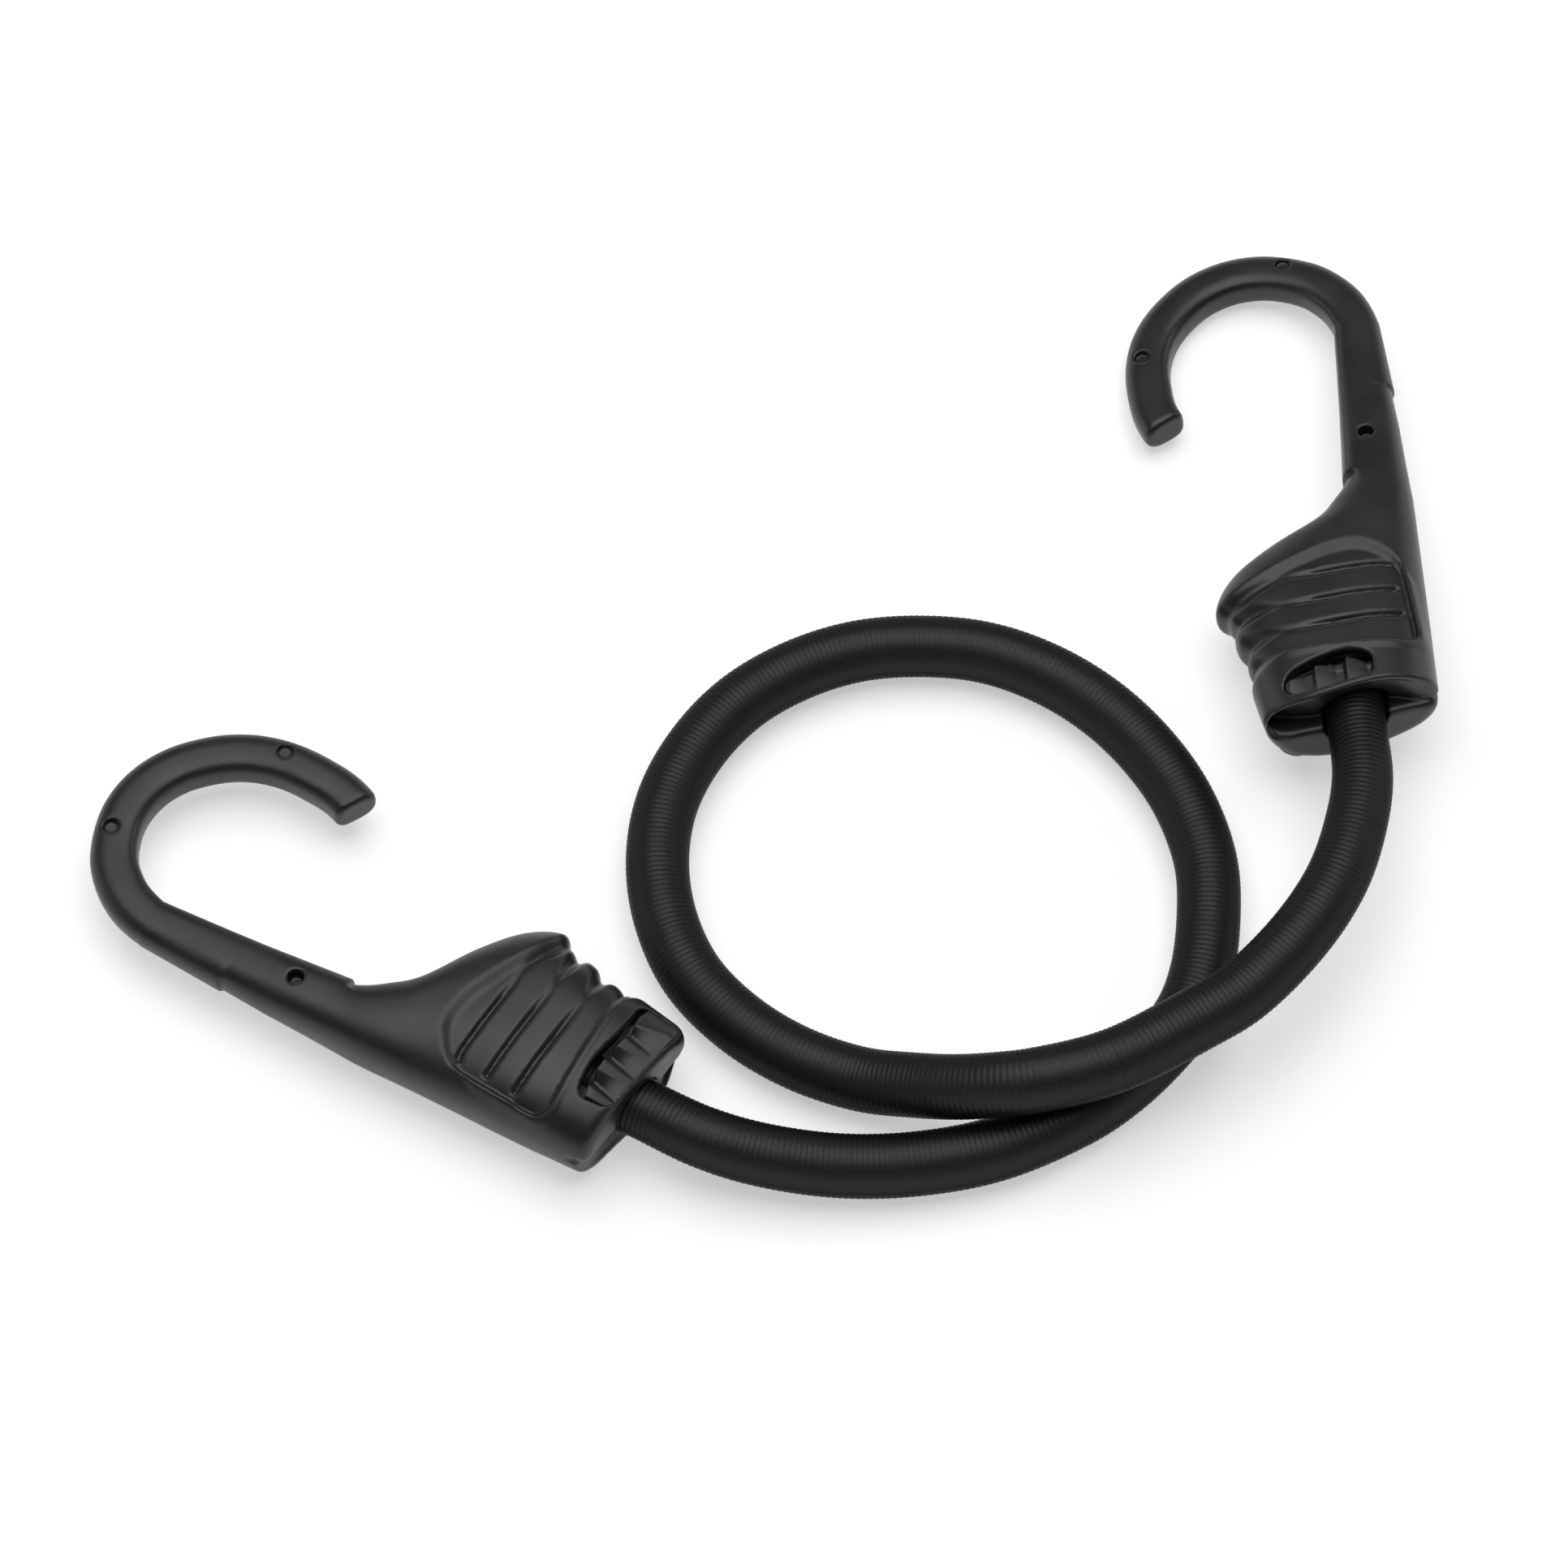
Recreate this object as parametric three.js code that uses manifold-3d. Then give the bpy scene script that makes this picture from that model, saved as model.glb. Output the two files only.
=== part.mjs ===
// Bungee cord: an elastic cord in a woven sheath, laid in one loop, with a moulded steel-cored hook on each end.
// Millimetres, +Z up. The table is z = 0, and the origin is the middle of the box that the two hooks fill.

import * as THREE from 'three';
import { mergeVertices } from 'three/addons/utils/BufferGeometryUtils.js';
import Module from 'manifold-3d';

const wasm = await Module();
wasm.setup();

// Cord
const cordDiameter = 10;
const sheathWall = 1.1;
const cordSides = 10;
const ringSpacing = 9.5;              // step between the cord's rings
const clearance = 0.3;                // gap kept between pieces that touch

// Hook, in its own axes: x along it from the base to the bend, y across it towards the tip, z through its thickness
const spineOffset = 13.2;             // cord axis to the straight edge of the grip
const collarReach = 14.2;             // cord axis to the other edge, at the base
const collarLength = 10.5;
const flareReach = 20.4;              // cord axis to the widest part of the grip
const flareAlong = 24.5;
const neckAlong = 48.5;               // where the grip ends on the shaft
const neckStep = 0.35;                // the grip stands this far proud of the shaft there
const gripThickness = 16.4;
const flareThickness = 15.4;
const neckThickness = 9.4;
const shaftOffset = 7.2;              // cord axis to the middle of the shaft, on the straight edge's side
const shaftWidth = 10;
const armWidth = 7.5;
const tipWidth = 7;
const armThickness = 5.6;
const shaftTop = 83;                  // where the bend starts
const bendRadius = 12.9;
const bendTurn = THREE.MathUtils.degToRad(75.4);
const crookRadius = 20.5;
const crookTurn = THREE.MathUtils.degToRad(132.4);
const seatDepth = 0.3;                // flat land inside the crook, where the hook bears on a rail
const roundness = 2.6;                // exponent of the super-ellipse of every section
const baseEdge = 1.2;                 // rounding of the base's edge
const gripSides = 24;
const armSides = 12;

// Ribbed thumb pad on both faces of the grip, which runs round the flared edge
const padSpineBorder = 10.8;
const padTop = 31;
const padFlareTop = 22.6;             // where the pad's upper border meets the flared edge
const padCorner = 4;
const padDepth = 0.5;
const grooveDepth = 0.55;
const grooveWidth = 1.5;
const groovePitch = 5;
const grooveCount = 3;

// Windows over the cord plug
const windowSpineSide = 3.6;
const windowFlareSide = 9.8;
const windowBridge = 1.6;             // shell left between a window and the base
const windowLength = 6.6;
const windowArch = 1.6;               // rise of its upper edge
const latchRibs = 2;
const latchRibWidth = 1.2;

// Cord plug and ferrule
const shellWall = 1.7;
const plugRecess = 1.2;
const plugLength = 8.4;
const plugWidth = 21.6;
const ferruleWall = 0.7;
const ferruleLength = 8;
const cordEndPast = 0.5;              // the cord's end stands this far out of the ferrule

// Steel core of the hook
const wireDiameter = 3.4;
const wireSpineOffset = 9.7;
const wireStart = 12;
const wireTipCover = 3;
const locatorHole = 2.4;
const shaftHoleAlong = 56;
const bendHoleTurn = THREE.MathUtils.degToRad(80);
const tipHoleTurn = THREE.MathUtils.degToRad(168);

// Where the hooks lie: the middle of the base, then the angles in degrees
const leftPlace = { x: -18.4, y: -75.9, heading: 152, pitch: 0.3, roll: 1, over: true };
const rightPlace = { x: 92.5, y: -12, heading: 91.2, pitch: 6, roll: 8.9, over: false };

// Hand-laid route of the cord between the hooks, from the left to the right
const leftTailRoute = [[-1.2, -82.9, 7.2], [10.8, -84.1, 5.7], [22.8, -83.5, 5.1], [34.8, -81, 5.1]];
const loopRoute = [
  [46.8, -75.4, 5.1], [52.8, -71.2, 5.1], [58.8, -65.4, 5.1], [64.3, -58.2, 5.1], [67.3, -50.4, 5.1], [68.9, -38.9, 5.1],
  [68.7, -29.9, 5.1], [65.6, -19, 5.1], [60.2, -9.5, 5.1], [53.2, -1.5, 5.1], [44.7, 4.7, 5.1], [35.1, 8.7, 5.1],
  [24.8, 9.9, 5.1], [14.4, 8.9, 5.1], [4.6, 5.2, 5.1], [-4.2, -0.9, 5.1], [-11, -9.3, 5.1], [-15.5, -19.1, 5.1],
  [-17, -29.9, 5.1], [-15.6, -40.7, 5.1], [-11.4, -50.8, 5.1], [-4.3, -59, 5.1], [4.5, -65.1, 5.1], [14.4, -69.2, 5.6],
  [22.8, -71.8, 8.4], [28.8, -73.6, 11.2], [34.8, -74.6, 13.7], [40.8, -74.6, 15.2],
];
const rightTailRoute = [
  [52.3, -71.8, 16], [65.3, -64.6, 16.1], [72.5, -59.9, 16.3], [81.6, -50.4, 17.2], [87.7, -40.7, 17.6],
  [91.2, -30.5, 17.3],
];

// Values that follow from the sizes above
const cordRadius = cordDiameter / 2;
const collarTop = collarLength + groovePitch * grooveCount;
const plugThickness = gripThickness - 2 * (shellWall + clearance);
const plugEnd = plugRecess + plugLength;
const ferruleStart = plugEnd + clearance;
const ferruleEnd = ferruleStart + ferruleLength;
const cordEnd = ferruleEnd + cordEndPast;
const boreRadius = cordRadius + clearance;
const ferruleRadius = boreRadius + ferruleWall;
const plugMiddle = (collarReach - spineOffset) / 2;

const nylonBlack = { color: 0x2b2d2f, roughness: 0.55, metalness: 0 };
const plugBlack = { color: 0x232527, roughness: 0.6, metalness: 0 };
const wovenBlack = { color: 0x161718, roughness: 0.85, metalness: 0 };
const latex = { color: 0xcbb58c, roughness: 0.8, metalness: 0 };
const steel = { color: 0xb9bcc0, roughness: 0.35, metalness: 1 };

// Solids and booleans

function solid(geometry) {
  const bare = geometry.index ? geometry.toNonIndexed() : geometry.clone();
  bare.deleteAttribute('normal');
  bare.deleteAttribute('uv');
  const merged = mergeVertices(bare, 1e-4);
  return new wasm.Manifold(new wasm.Mesh({
    numProp: 3,
    vertProperties: Float32Array.from(merged.attributes.position.array),
    triVerts: Uint32Array.from(merged.index.array),
  }));
}

function geometryOf(manifold) {
  const mesh = manifold.getMesh();
  const geometry = new THREE.BufferGeometry();
  geometry.setAttribute('position', new THREE.BufferAttribute(mesh.vertProperties, 3));
  geometry.setIndex(new THREE.BufferAttribute(mesh.triVerts, 1));
  geometry.computeVertexNormals();
  return geometry;
}

function piece(name, geometry, finish) {
  const mesh = new THREE.Mesh(geometry, new THREE.MeshStandardMaterial(finish));
  mesh.name = name;
  return mesh;
}

// A super-ellipse as a list of points, anticlockwise.
function roundedSection(halfWidth, halfHeight, count) {
  const points = [];
  for (let k = 0; k < count; k += 1) {
    const angle = (k / count) * 2 * Math.PI;
    const reach = (value) => Math.sign(value) * Math.abs(value) ** (2 / roundness);
    points.push(new THREE.Vector2(halfWidth * reach(Math.cos(angle)), halfHeight * reach(Math.sin(angle))));
  }
  return points;
}

// A closed skin over rings of equal point counts, with a flat cap on each end.
function loft(rings) {
  const count = rings[0].length;
  const positions = rings.flat().flatMap((point) => [point.x, point.y, point.z]);
  const index = [];
  for (let ring = 0; ring < rings.length - 1; ring += 1) {
    for (let k = 0; k < count; k += 1) {
      const here = ring * count + k;
      const next = ring * count + ((k + 1) % count);
      index.push(here, next, here + count, next, next + count, here + count);
    }
  }
  const last = (rings.length - 1) * count;
  for (let k = 1; k < count - 1; k += 1) {
    index.push(0, k + 1, k);
    index.push(last, last + k, last + k + 1);
  }
  const geometry = new THREE.BufferGeometry();
  geometry.setAttribute('position', new THREE.Float32BufferAttribute(positions, 3));
  geometry.setIndex(index);
  return solid(geometry);
}

// A flat outline pulled through the hook's thickness, from one level to another.
function prism(shape, low, high) {
  const geometry = new THREE.ExtrudeGeometry(shape, { depth: high - low, bevelEnabled: false, curveSegments: 8 });
  geometry.translate(0, 0, low);
  return solid(geometry);
}

// A section pulled along the hook, from one place to another.
function bar(points, holes, from, to) {
  const shape = new THREE.Shape(points);
  shape.holes = holes.map((hole) => new THREE.Path(hole));
  const geometry = new THREE.ExtrudeGeometry(shape, { depth: to - from, bevelEnabled: false });
  const turned = new THREE.Matrix4().makeBasis(
    new THREE.Vector3(0, 1, 0), new THREE.Vector3(0, 0, 1), new THREE.Vector3(1, 0, 0));
  geometry.applyMatrix4(turned);
  geometry.translate(from, 0, 0);
  return solid(geometry);
}

function circle(radius, count) {
  return Array.from({ length: count }, (_, k) => {
    const angle = (k / count) * 2 * Math.PI;
    return new THREE.Vector2(radius * Math.cos(angle), radius * Math.sin(angle));
  });
}

function block(x, y, z) {
  const geometry = new THREE.BoxGeometry(x[1] - x[0], y[1] - y[0], z[1] - z[0]);
  geometry.translate((x[0] + x[1]) / 2, (y[0] + y[1]) / 2, (z[0] + z[1]) / 2);
  return solid(geometry);
}

// Hook shell

// The grip's flared edge and thickness, place by place along it.
const flareEdge = new THREE.SplineCurve([
  new THREE.Vector2(0, collarReach),
  new THREE.Vector2(collarLength, collarReach + 1.8),
  new THREE.Vector2(flareAlong - groovePitch, flareReach - 1.6),
  new THREE.Vector2(flareAlong, flareReach),
  new THREE.Vector2(flareAlong + 5.5, flareReach - 3),
  new THREE.Vector2(flareAlong + 10.5, flareReach - 9.2),
  new THREE.Vector2(neckAlong - 8.5, shaftWidth / 2 - shaftOffset + 4.2),
  new THREE.Vector2(neckAlong - 4, shaftWidth / 2 - shaftOffset + 1.2),
  new THREE.Vector2(neckAlong, shaftWidth / 2 - shaftOffset + neckStep),
]).getPoints(120);
const gripDepth = [
  new THREE.Vector2(0, gripThickness),
  new THREE.Vector2(collarLength, gripThickness),
  new THREE.Vector2(flareAlong, flareThickness),
  new THREE.Vector2(neckAlong, neckThickness),
];

// Reads a value off a list of points that run along the hook.
function valueAt(points, along) {
  const next = Math.max(1, points.findIndex((point) => point.x >= along));
  const from = points[next - 1];
  const to = points[next];
  return THREE.MathUtils.mapLinear(along, from.x, to.x, from.y, to.y);
}

function spineAt(along) {
  const shaftEdge = shaftOffset + shaftWidth / 2 + neckStep;
  return -THREE.MathUtils.mapLinear(along, 0, neckAlong, spineOffset, shaftEdge);
}

// One ring of the grip, drawn in by an inset.
function gripRing(along, inset) {
  const low = spineAt(along) + inset;
  const high = valueAt(flareEdge, along) - inset;
  const section = roundedSection((high - low) / 2, valueAt(gripDepth, along) / 2 - inset, gripSides);
  return section.map((point) => new THREE.Vector3(along, (low + high) / 2 + point.x, point.y));
}

function gripBody() {
  const places = [baseEdge, 5, 10, 15, 19.5, 22.5, flareAlong, 26.5, 28.5, 30.5, 32.5, 34.5, 37, 40, 43, 46, neckAlong];
  return loft([gripRing(0, baseEdge), ...places.map((along) => gripRing(along, 0))]);
}

// The same body drawn in to the pad's floor, with the grooves across it.
function ribbedBody() {
  const rings = [gripRing(collarLength - groovePitch, padDepth)];
  for (let groove = 0; groove <= grooveCount; groove += 1) {
    const middle = collarLength + groove * groovePitch;
    const half = grooveWidth / 2;
    rings.push(gripRing(middle - half, padDepth), gripRing(middle - half / 2, padDepth + grooveDepth));
    rings.push(gripRing(middle + half / 2, padDepth + grooveDepth), gripRing(middle + half, padDepth));
  }
  rings.push(gripRing(collarTop + groovePitch / 2, padDepth));
  rings.push(gripRing(padTop + groovePitch, padDepth));
  return loft(rings);
}

function padOutline() {
  const start = collarLength - grooveWidth / 4;
  const outside = flareReach + 6;
  const shape = new THREE.Shape();
  shape.moveTo(start, outside);
  shape.lineTo(start, padCorner - padSpineBorder);
  shape.quadraticCurveTo(start, -padSpineBorder, start + padCorner, -padSpineBorder);
  shape.lineTo(padTop - 2 * padCorner, -padSpineBorder);
  shape.quadraticCurveTo(padTop, -padSpineBorder, padTop, padCorner - padSpineBorder + 2);
  shape.quadraticCurveTo(padTop, flareReach / 2, padFlareTop, flareReach - 1);
  shape.lineTo(padFlareTop, outside);
  return shape;
}

// The arm's middle line after it has turned by an angle, in the bend or the crook.
function armAt(turn) {
  const inBend = Math.min(turn, bendTurn);
  const inCrook = Math.max(turn, bendTurn);
  return new THREE.Vector2(
    shaftTop + bendRadius * Math.sin(inBend) + crookRadius * (Math.sin(inCrook) - Math.sin(bendTurn)),
    -shaftOffset + bendRadius * (1 - Math.cos(inBend)) + crookRadius * (Math.cos(bendTurn) - Math.cos(inCrook)),
  );
}

function armRing(place, turn, width, thickness) {
  const across = new THREE.Vector2(-Math.sin(turn), Math.cos(turn));
  return roundedSection(width / 2, thickness / 2, armSides).map((point) => new THREE.Vector3(
    place.x + across.x * point.x, place.y + across.y * point.x, point.y));
}

function armBody() {
  const rings = [];
  const inGrip = neckAlong - 6;
  for (const share of [0, 0.17, 0.34, 0.6, 0.85, 1]) {
    const place = new THREE.Vector2(THREE.MathUtils.lerp(inGrip, shaftTop, share), -shaftOffset);
    const width = THREE.MathUtils.lerp(shaftWidth, armWidth, share);
    const thickness = THREE.MathUtils.lerp(neckThickness - 2 * neckStep, armThickness, Math.sqrt(share));
    rings.push(armRing(place, 0, width, thickness));
  }
  const bendSteps = 7;
  const crookSteps = 14;
  for (let step = 1; step <= bendSteps; step += 1) {
    const turn = (bendTurn * step) / bendSteps;
    rings.push(armRing(armAt(turn), turn, armWidth, armThickness));
  }
  for (let step = 1; step <= crookSteps; step += 1) {
    const share = step / crookSteps;
    const turn = bendTurn + crookTurn * share;
    rings.push(armRing(armAt(turn), turn, THREE.MathUtils.lerp(armWidth, tipWidth, share), armThickness));
  }
  return loft(rings);
}

// The steel core's middle line: up the straight edge of the grip, along the shaft and round the crook.
function wireCurve() {
  const points = [
    new THREE.Vector3(wireStart, -wireSpineOffset, 0),
    new THREE.Vector3(wireStart + 8, -wireSpineOffset, 0),
    new THREE.Vector3(wireStart + 16, -wireSpineOffset, 0),
    new THREE.Vector3(neckAlong - 8, -shaftOffset, 0),
    new THREE.Vector3(neckAlong, -shaftOffset, 0),
    new THREE.Vector3((neckAlong + shaftTop) / 2, -shaftOffset, 0),
  ];
  const stopTurn = bendTurn + crookTurn - wireTipCover / crookRadius;
  const steps = 16;
  for (let step = 0; step <= steps; step += 1) {
    const place = armAt((stopTurn * step) / steps);
    points.push(new THREE.Vector3(place.x, place.y, 0));
  }
  return new THREE.CatmullRomCurve3(points, false, 'centripetal');
}

function wire(diameter, lengthen) {
  const curve = wireCurve();
  const section = new THREE.Shape(circle(diameter / 2, 8));
  const tube = solid(new THREE.ExtrudeGeometry(section, { steps: 34, extrudePath: curve, bevelEnabled: false }));
  if (lengthen === 0) {
    return tube;
  }
  const ends = [0, 1].map((share) => {
    const place = curve.getPointAt(share);
    const out = curve.getTangentAt(share).multiplyScalar(share === 0 ? -1 : 1);
    const cap = new THREE.CylinderGeometry(diameter / 2, diameter / 2, 2 * lengthen, 8);
    cap.applyQuaternion(new THREE.Quaternion().setFromUnitVectors(new THREE.Vector3(0, 1, 0), out));
    cap.translate(place.x, place.y, place.z);
    return solid(cap);
  });
  return tube.add(ends[0]).add(ends[1]);
}

function windowOutline(gap) {
  const low = -windowSpineSide + gap;
  const high = windowFlareSide - gap;
  const start = windowBridge + gap;
  const end = windowBridge + windowLength - gap;
  const shape = new THREE.Shape();
  shape.moveTo(start, low);
  shape.lineTo(end, low);
  shape.quadraticCurveTo(end + windowArch, (low + high) / 2, end - windowArch, high);
  shape.lineTo(start, high);
  return shape;
}

function plugSection(grow) {
  const section = roundedSection(plugWidth / 2 + grow, plugThickness / 2 + grow, 24);
  return section.map((point) => new THREE.Vector2(point.x + plugMiddle, point.y));
}

function locatorHoles() {
  const places = [new THREE.Vector2(shaftHoleAlong, -shaftOffset), armAt(bendHoleTurn), armAt(tipHoleTurn)];
  return places.map((place) => {
    const pin = new THREE.CylinderGeometry(locatorHole / 2, locatorHole / 2, gripThickness, 8);
    pin.rotateX(Math.PI / 2);
    pin.translate(place.x, place.y, 0);
    return solid(pin);
  });
}

// The flat land is square to the line from the crook's middle to its top.
function seatCut() {
  const turn = Math.PI / 2;
  const top = armAt(turn);
  const floor = top.x - armWidth / 2 + seatDepth;
  const reach = crookRadius / 5;
  return block([floor - reach, floor], [top.y - reach, top.y + reach], [-armThickness, armThickness]);
}

function hookShell() {
  const far = gripThickness;
  const pad = prism(padOutline(), -far, far).subtract(ribbedBody());
  const window = prism(windowOutline(0), plugThickness / 4, far).add(prism(windowOutline(0), -far, -plugThickness / 4));
  const socket = bar(plugSection(clearance), [], -1, plugEnd + clearance);
  const chamber = bar(circle(ferruleRadius + clearance, 20), [], plugEnd, cordEnd + clearance);
  let shell = gripBody().subtract(pad).add(armBody().subtract(seatCut()));
  shell = shell.subtract(wire(wireDiameter + 2 * clearance, clearance));
  for (const cut of [socket, window, chamber, ...locatorHoles()]) {
    shell = shell.subtract(cut);
  }
  return geometryOf(shell);
}

// Cord plug: fills the base's socket, with ramps and ribs that stand in the windows

function cordPlug() {
  let plug = bar(plugSection(0), [circle(boreRadius, 16)], plugRecess, plugEnd);
  const face = gripThickness / 2 - clearance;
  const root = plugThickness / 2 - shellWall / 2;
  const start = windowBridge + clearance;
  const end = windowBridge + windowLength - windowArch - clearance;
  const ramp = new THREE.Shape([
    new THREE.Vector2(start, root), new THREE.Vector2(end, root), new THREE.Vector2(end, plugThickness / 2),
    new THREE.Vector2(start, face - clearance),
  ]);
  const inside = [-windowSpineSide + clearance, windowFlareSide - clearance];
  const bay = (inside[1] - inside[0]) / (latchRibs + 1);
  const wedge = new THREE.ExtrudeGeometry(ramp, { depth: inside[1] - inside[0], bevelEnabled: false });
  wedge.rotateX(Math.PI / 2);
  wedge.translate(0, inside[1], 0);
  let latch = solid(wedge);
  for (let rib = 1; rib <= latchRibs; rib += 1) {
    const middle = inside[0] + rib * bay;
    latch = latch.add(block([start, end], [middle - latchRibWidth / 2, middle + latchRibWidth / 2], [root, face]));
  }
  plug = plug.add(latch).add(latch.scale([1, 1, -1]));
  const bore = bar(circle(boreRadius, 16), [], plugRecess - 1, plugEnd + 1);
  return geometryOf(plug.subtract(bore));
}

function ferrule() {
  return geometryOf(bar(circle(ferruleRadius, 20), [circle(boreRadius, 20)], ferruleStart, ferruleEnd));
}

// Assembly

function hook(side, place) {
  const group = new THREE.Group();
  group.add(
    piece(`${side}_hook_shell`, hookShell(), nylonBlack),
    piece(`${side}_hook_core`, geometryOf(wire(wireDiameter, 0)), steel),
    piece(`${side}_cord_plug`, cordPlug(), plugBlack),
    piece(`${side}_ferrule`, ferrule(), steel),
  );
  const degrees = THREE.MathUtils.degToRad;
  const roll = place.over ? Math.PI + degrees(place.roll) : -degrees(place.roll);
  group.rotation.set(roll, degrees(place.pitch), degrees(place.heading), 'ZYX');
  group.position.set(place.x, place.y, 0);
  group.updateMatrixWorld(true);
  group.position.z = -new THREE.Box3().setFromObject(group, true).min.z;
  group.updateMatrixWorld(true);
  return group;
}

const leftHook = hook('left', leftPlace);
const rightHook = hook('right', rightPlace);

// A point on a hook's cord axis, so far along the hook.
function onCordAxis(group, along) {
  return group.localToWorld(new THREE.Vector3(along, 0, 0));
}

const straightOut = [cordEnd, cordEnd / 2, 0, -cordDiameter];
const handLaid = [...leftTailRoute, ...loopRoute, ...rightTailRoute].map((point) => new THREE.Vector3(...point));
const cordLine = new THREE.CatmullRomCurve3([
  ...straightOut.map((along) => onCordAxis(leftHook, along)),
  ...handLaid,
  ...straightOut.map((along) => onCordAxis(rightHook, along)).reverse(),
], false, 'centripetal');
cordLine.arcLengthDivisions = 2000;
const cordLength = cordLine.getLength();

// The share of the cord's length at which it passes nearest to a point.
function shareNear(point) {
  const steps = 4000;
  let best = 0;
  let least = Infinity;
  for (let step = 0; step <= steps; step += 1) {
    const distance = cordLine.getPointAt(step / steps).distanceTo(point);
    if (distance < least) {
      least = distance;
      best = step / steps;
    }
  }
  return best;
}

// A stretch of the cord between two shares of its length.
class Stretch extends THREE.Curve {
  constructor(from, to) {
    super();
    this.from = from;
    this.to = to;
  }

  getPoint(share, target = new THREE.Vector3()) {
    return target.copy(cordLine.getPointAt(THREE.MathUtils.lerp(this.from, this.to, share)));
  }
}

function cordPiece(name, from, to, finish, outer, inner) {
  const section = new THREE.Shape(circle(outer, cordSides));
  if (inner > 0) {
    section.holes.push(new THREE.Path(circle(inner, cordSides)));
  }
  const steps = Math.round(((to - from) * cordLength) / ringSpacing);
  const geometry = new THREE.ExtrudeGeometry(section, {
    steps, extrudePath: new Stretch(from, to), bevelEnabled: false,
  });
  return piece(name, geometryOf(solid(geometry)), finish);
}

const halfGap = clearance / 2 / cordLength;
const loopStart = shareNear(new THREE.Vector3(...loopRoute[0]));
const loopEnd = shareNear(new THREE.Vector3(...rightTailRoute[0]));
const stretches = [
  ['left_tail', 0, loopStart - halfGap],
  ['loop', loopStart + halfGap, loopEnd - halfGap],
  ['right_tail', loopEnd + halfGap, 1],
];
const sheathInner = cordRadius - sheathWall;
const rubberRadius = sheathInner - clearance;

const bungee = new THREE.Group();
bungee.add(leftHook, rightHook);
for (const [name, from, to] of stretches) {
  bungee.add(cordPiece(`sheath_${name}`, from, to, wovenBlack, cordRadius, sheathInner));
  bungee.add(cordPiece(`rubber_${name}`, from, to, latex, rubberRadius, 0));
}

// Least gap between strands of the cord that cross, measured between points of its middle line.
function leastGap() {
  const count = 800;
  const points = cordLine.getSpacedPoints(count);
  const apart = Math.ceil((4 * cordDiameter) / (cordLength / count));
  let least = Infinity;
  for (let a = 0; a < points.length; a += 1) {
    for (let b = a + apart; b < points.length; b += 1) {
      least = Math.min(least, points[a].distanceTo(points[b]));
    }
  }
  return least - cordDiameter;
}
console.log(`cord ${cordLength.toFixed(1)} mm, least gap where it crosses ${leastGap().toFixed(2)} mm`);

export default bungee;
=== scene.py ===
"""Dresses the bungee cord: moulded hooks, cord plugs and a woven sheath, on a white studio floor."""

import math

import bmesh
import bpy
import numpy as np
from mathutils import Matrix, Vector


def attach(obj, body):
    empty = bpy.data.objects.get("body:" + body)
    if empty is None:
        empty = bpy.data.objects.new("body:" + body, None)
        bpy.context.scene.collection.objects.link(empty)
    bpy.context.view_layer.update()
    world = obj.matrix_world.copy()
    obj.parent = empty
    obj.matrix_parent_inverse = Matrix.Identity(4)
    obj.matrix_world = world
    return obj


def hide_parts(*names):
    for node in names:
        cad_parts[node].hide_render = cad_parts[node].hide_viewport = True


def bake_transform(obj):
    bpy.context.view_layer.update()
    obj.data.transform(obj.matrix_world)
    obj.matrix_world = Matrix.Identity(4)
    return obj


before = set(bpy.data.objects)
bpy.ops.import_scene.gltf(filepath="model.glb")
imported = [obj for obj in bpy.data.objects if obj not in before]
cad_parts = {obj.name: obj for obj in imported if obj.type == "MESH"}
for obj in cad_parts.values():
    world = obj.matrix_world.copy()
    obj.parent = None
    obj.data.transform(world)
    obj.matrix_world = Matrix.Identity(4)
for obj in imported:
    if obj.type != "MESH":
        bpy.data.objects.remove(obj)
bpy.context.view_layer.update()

MM = 0.001

# Camera, from the photograph: a long lens that looks down on the table
CAMERA_TARGET = Vector((2.8, -12.9, 0.0)) * MM
CAMERA_ELEVATION = math.radians(58.34)
CAMERA_DISTANCE = 838.7 * MM
CAMERA_LENS = 121.1
CAMERA_FILM = 36
CAMERA_NEAR = 0.05

# Where the hooks lie, in millimetres and degrees, as in the CAD model
LEFT_HOOK = {"base": (-18.4, -75.9, 8.276), "heading": 152.0, "pitch": 0.3, "roll": 181.0}
RIGHT_HOOK = {"base": (92.5, -12.0, 15.739), "heading": 91.2, "pitch": 6.0, "roll": -8.9}

# Hook sizes in millimetres, in its own axes: along it, across it towards the tip, and through its thickness
SPINE_EDGE = [(0, -13.3), (20, -13.2), (44, -13.0), (54, -12.1)]
FLARE_EDGE = [
    (0, 14.1), (10.5, 16.2), (19.5, 18.9), (24.5, 20.4), (30, 17.9), (35, 12.1), (40, 3.9), (44, 0.3),
    (48, -2.2), (54, -4.0),
]
GRIP_DEPTH = [(0, 16.4), (10.5, 16.4), (24.5, 15.4), (36, 12.9), (45, 10.6), (54, 7.9)]
GRIP_END = 53.0
GRIP_ROUNDNESS = [(0, 2.2), (18, 2.6), (54, 2.6)]
SHAFT_ROOT = 40.0         # where the shaft begins, inside the neck
SHAFT_START = 49.3        # where it steps out from the neck, on its inner side
STEP_PLACE = -7.0         # where that step begins, across the hook
STEP_WIDTH = 3.0
SHAFT_INNER = [(40, -1.9), (49, -2.0), (65, -2.8), (83, -3.4)]
SHAFT_SPINE = [(40, -12.85), (48.5, -12.7), (60, -12.2), (67.7, -11.65), (68.1, -12.1), (83, -11.0)]
SHAFT_DEPTH = [(40, 10.2), (48.5, 9.5), (57, 8.3), (64, 7.2), (72, 6.4), (83, 5.8)]
SHAFT_TOP = 83.0
SHAFT_MIDDLE = -7.2
BEND_RADIUS = 12.9
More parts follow.
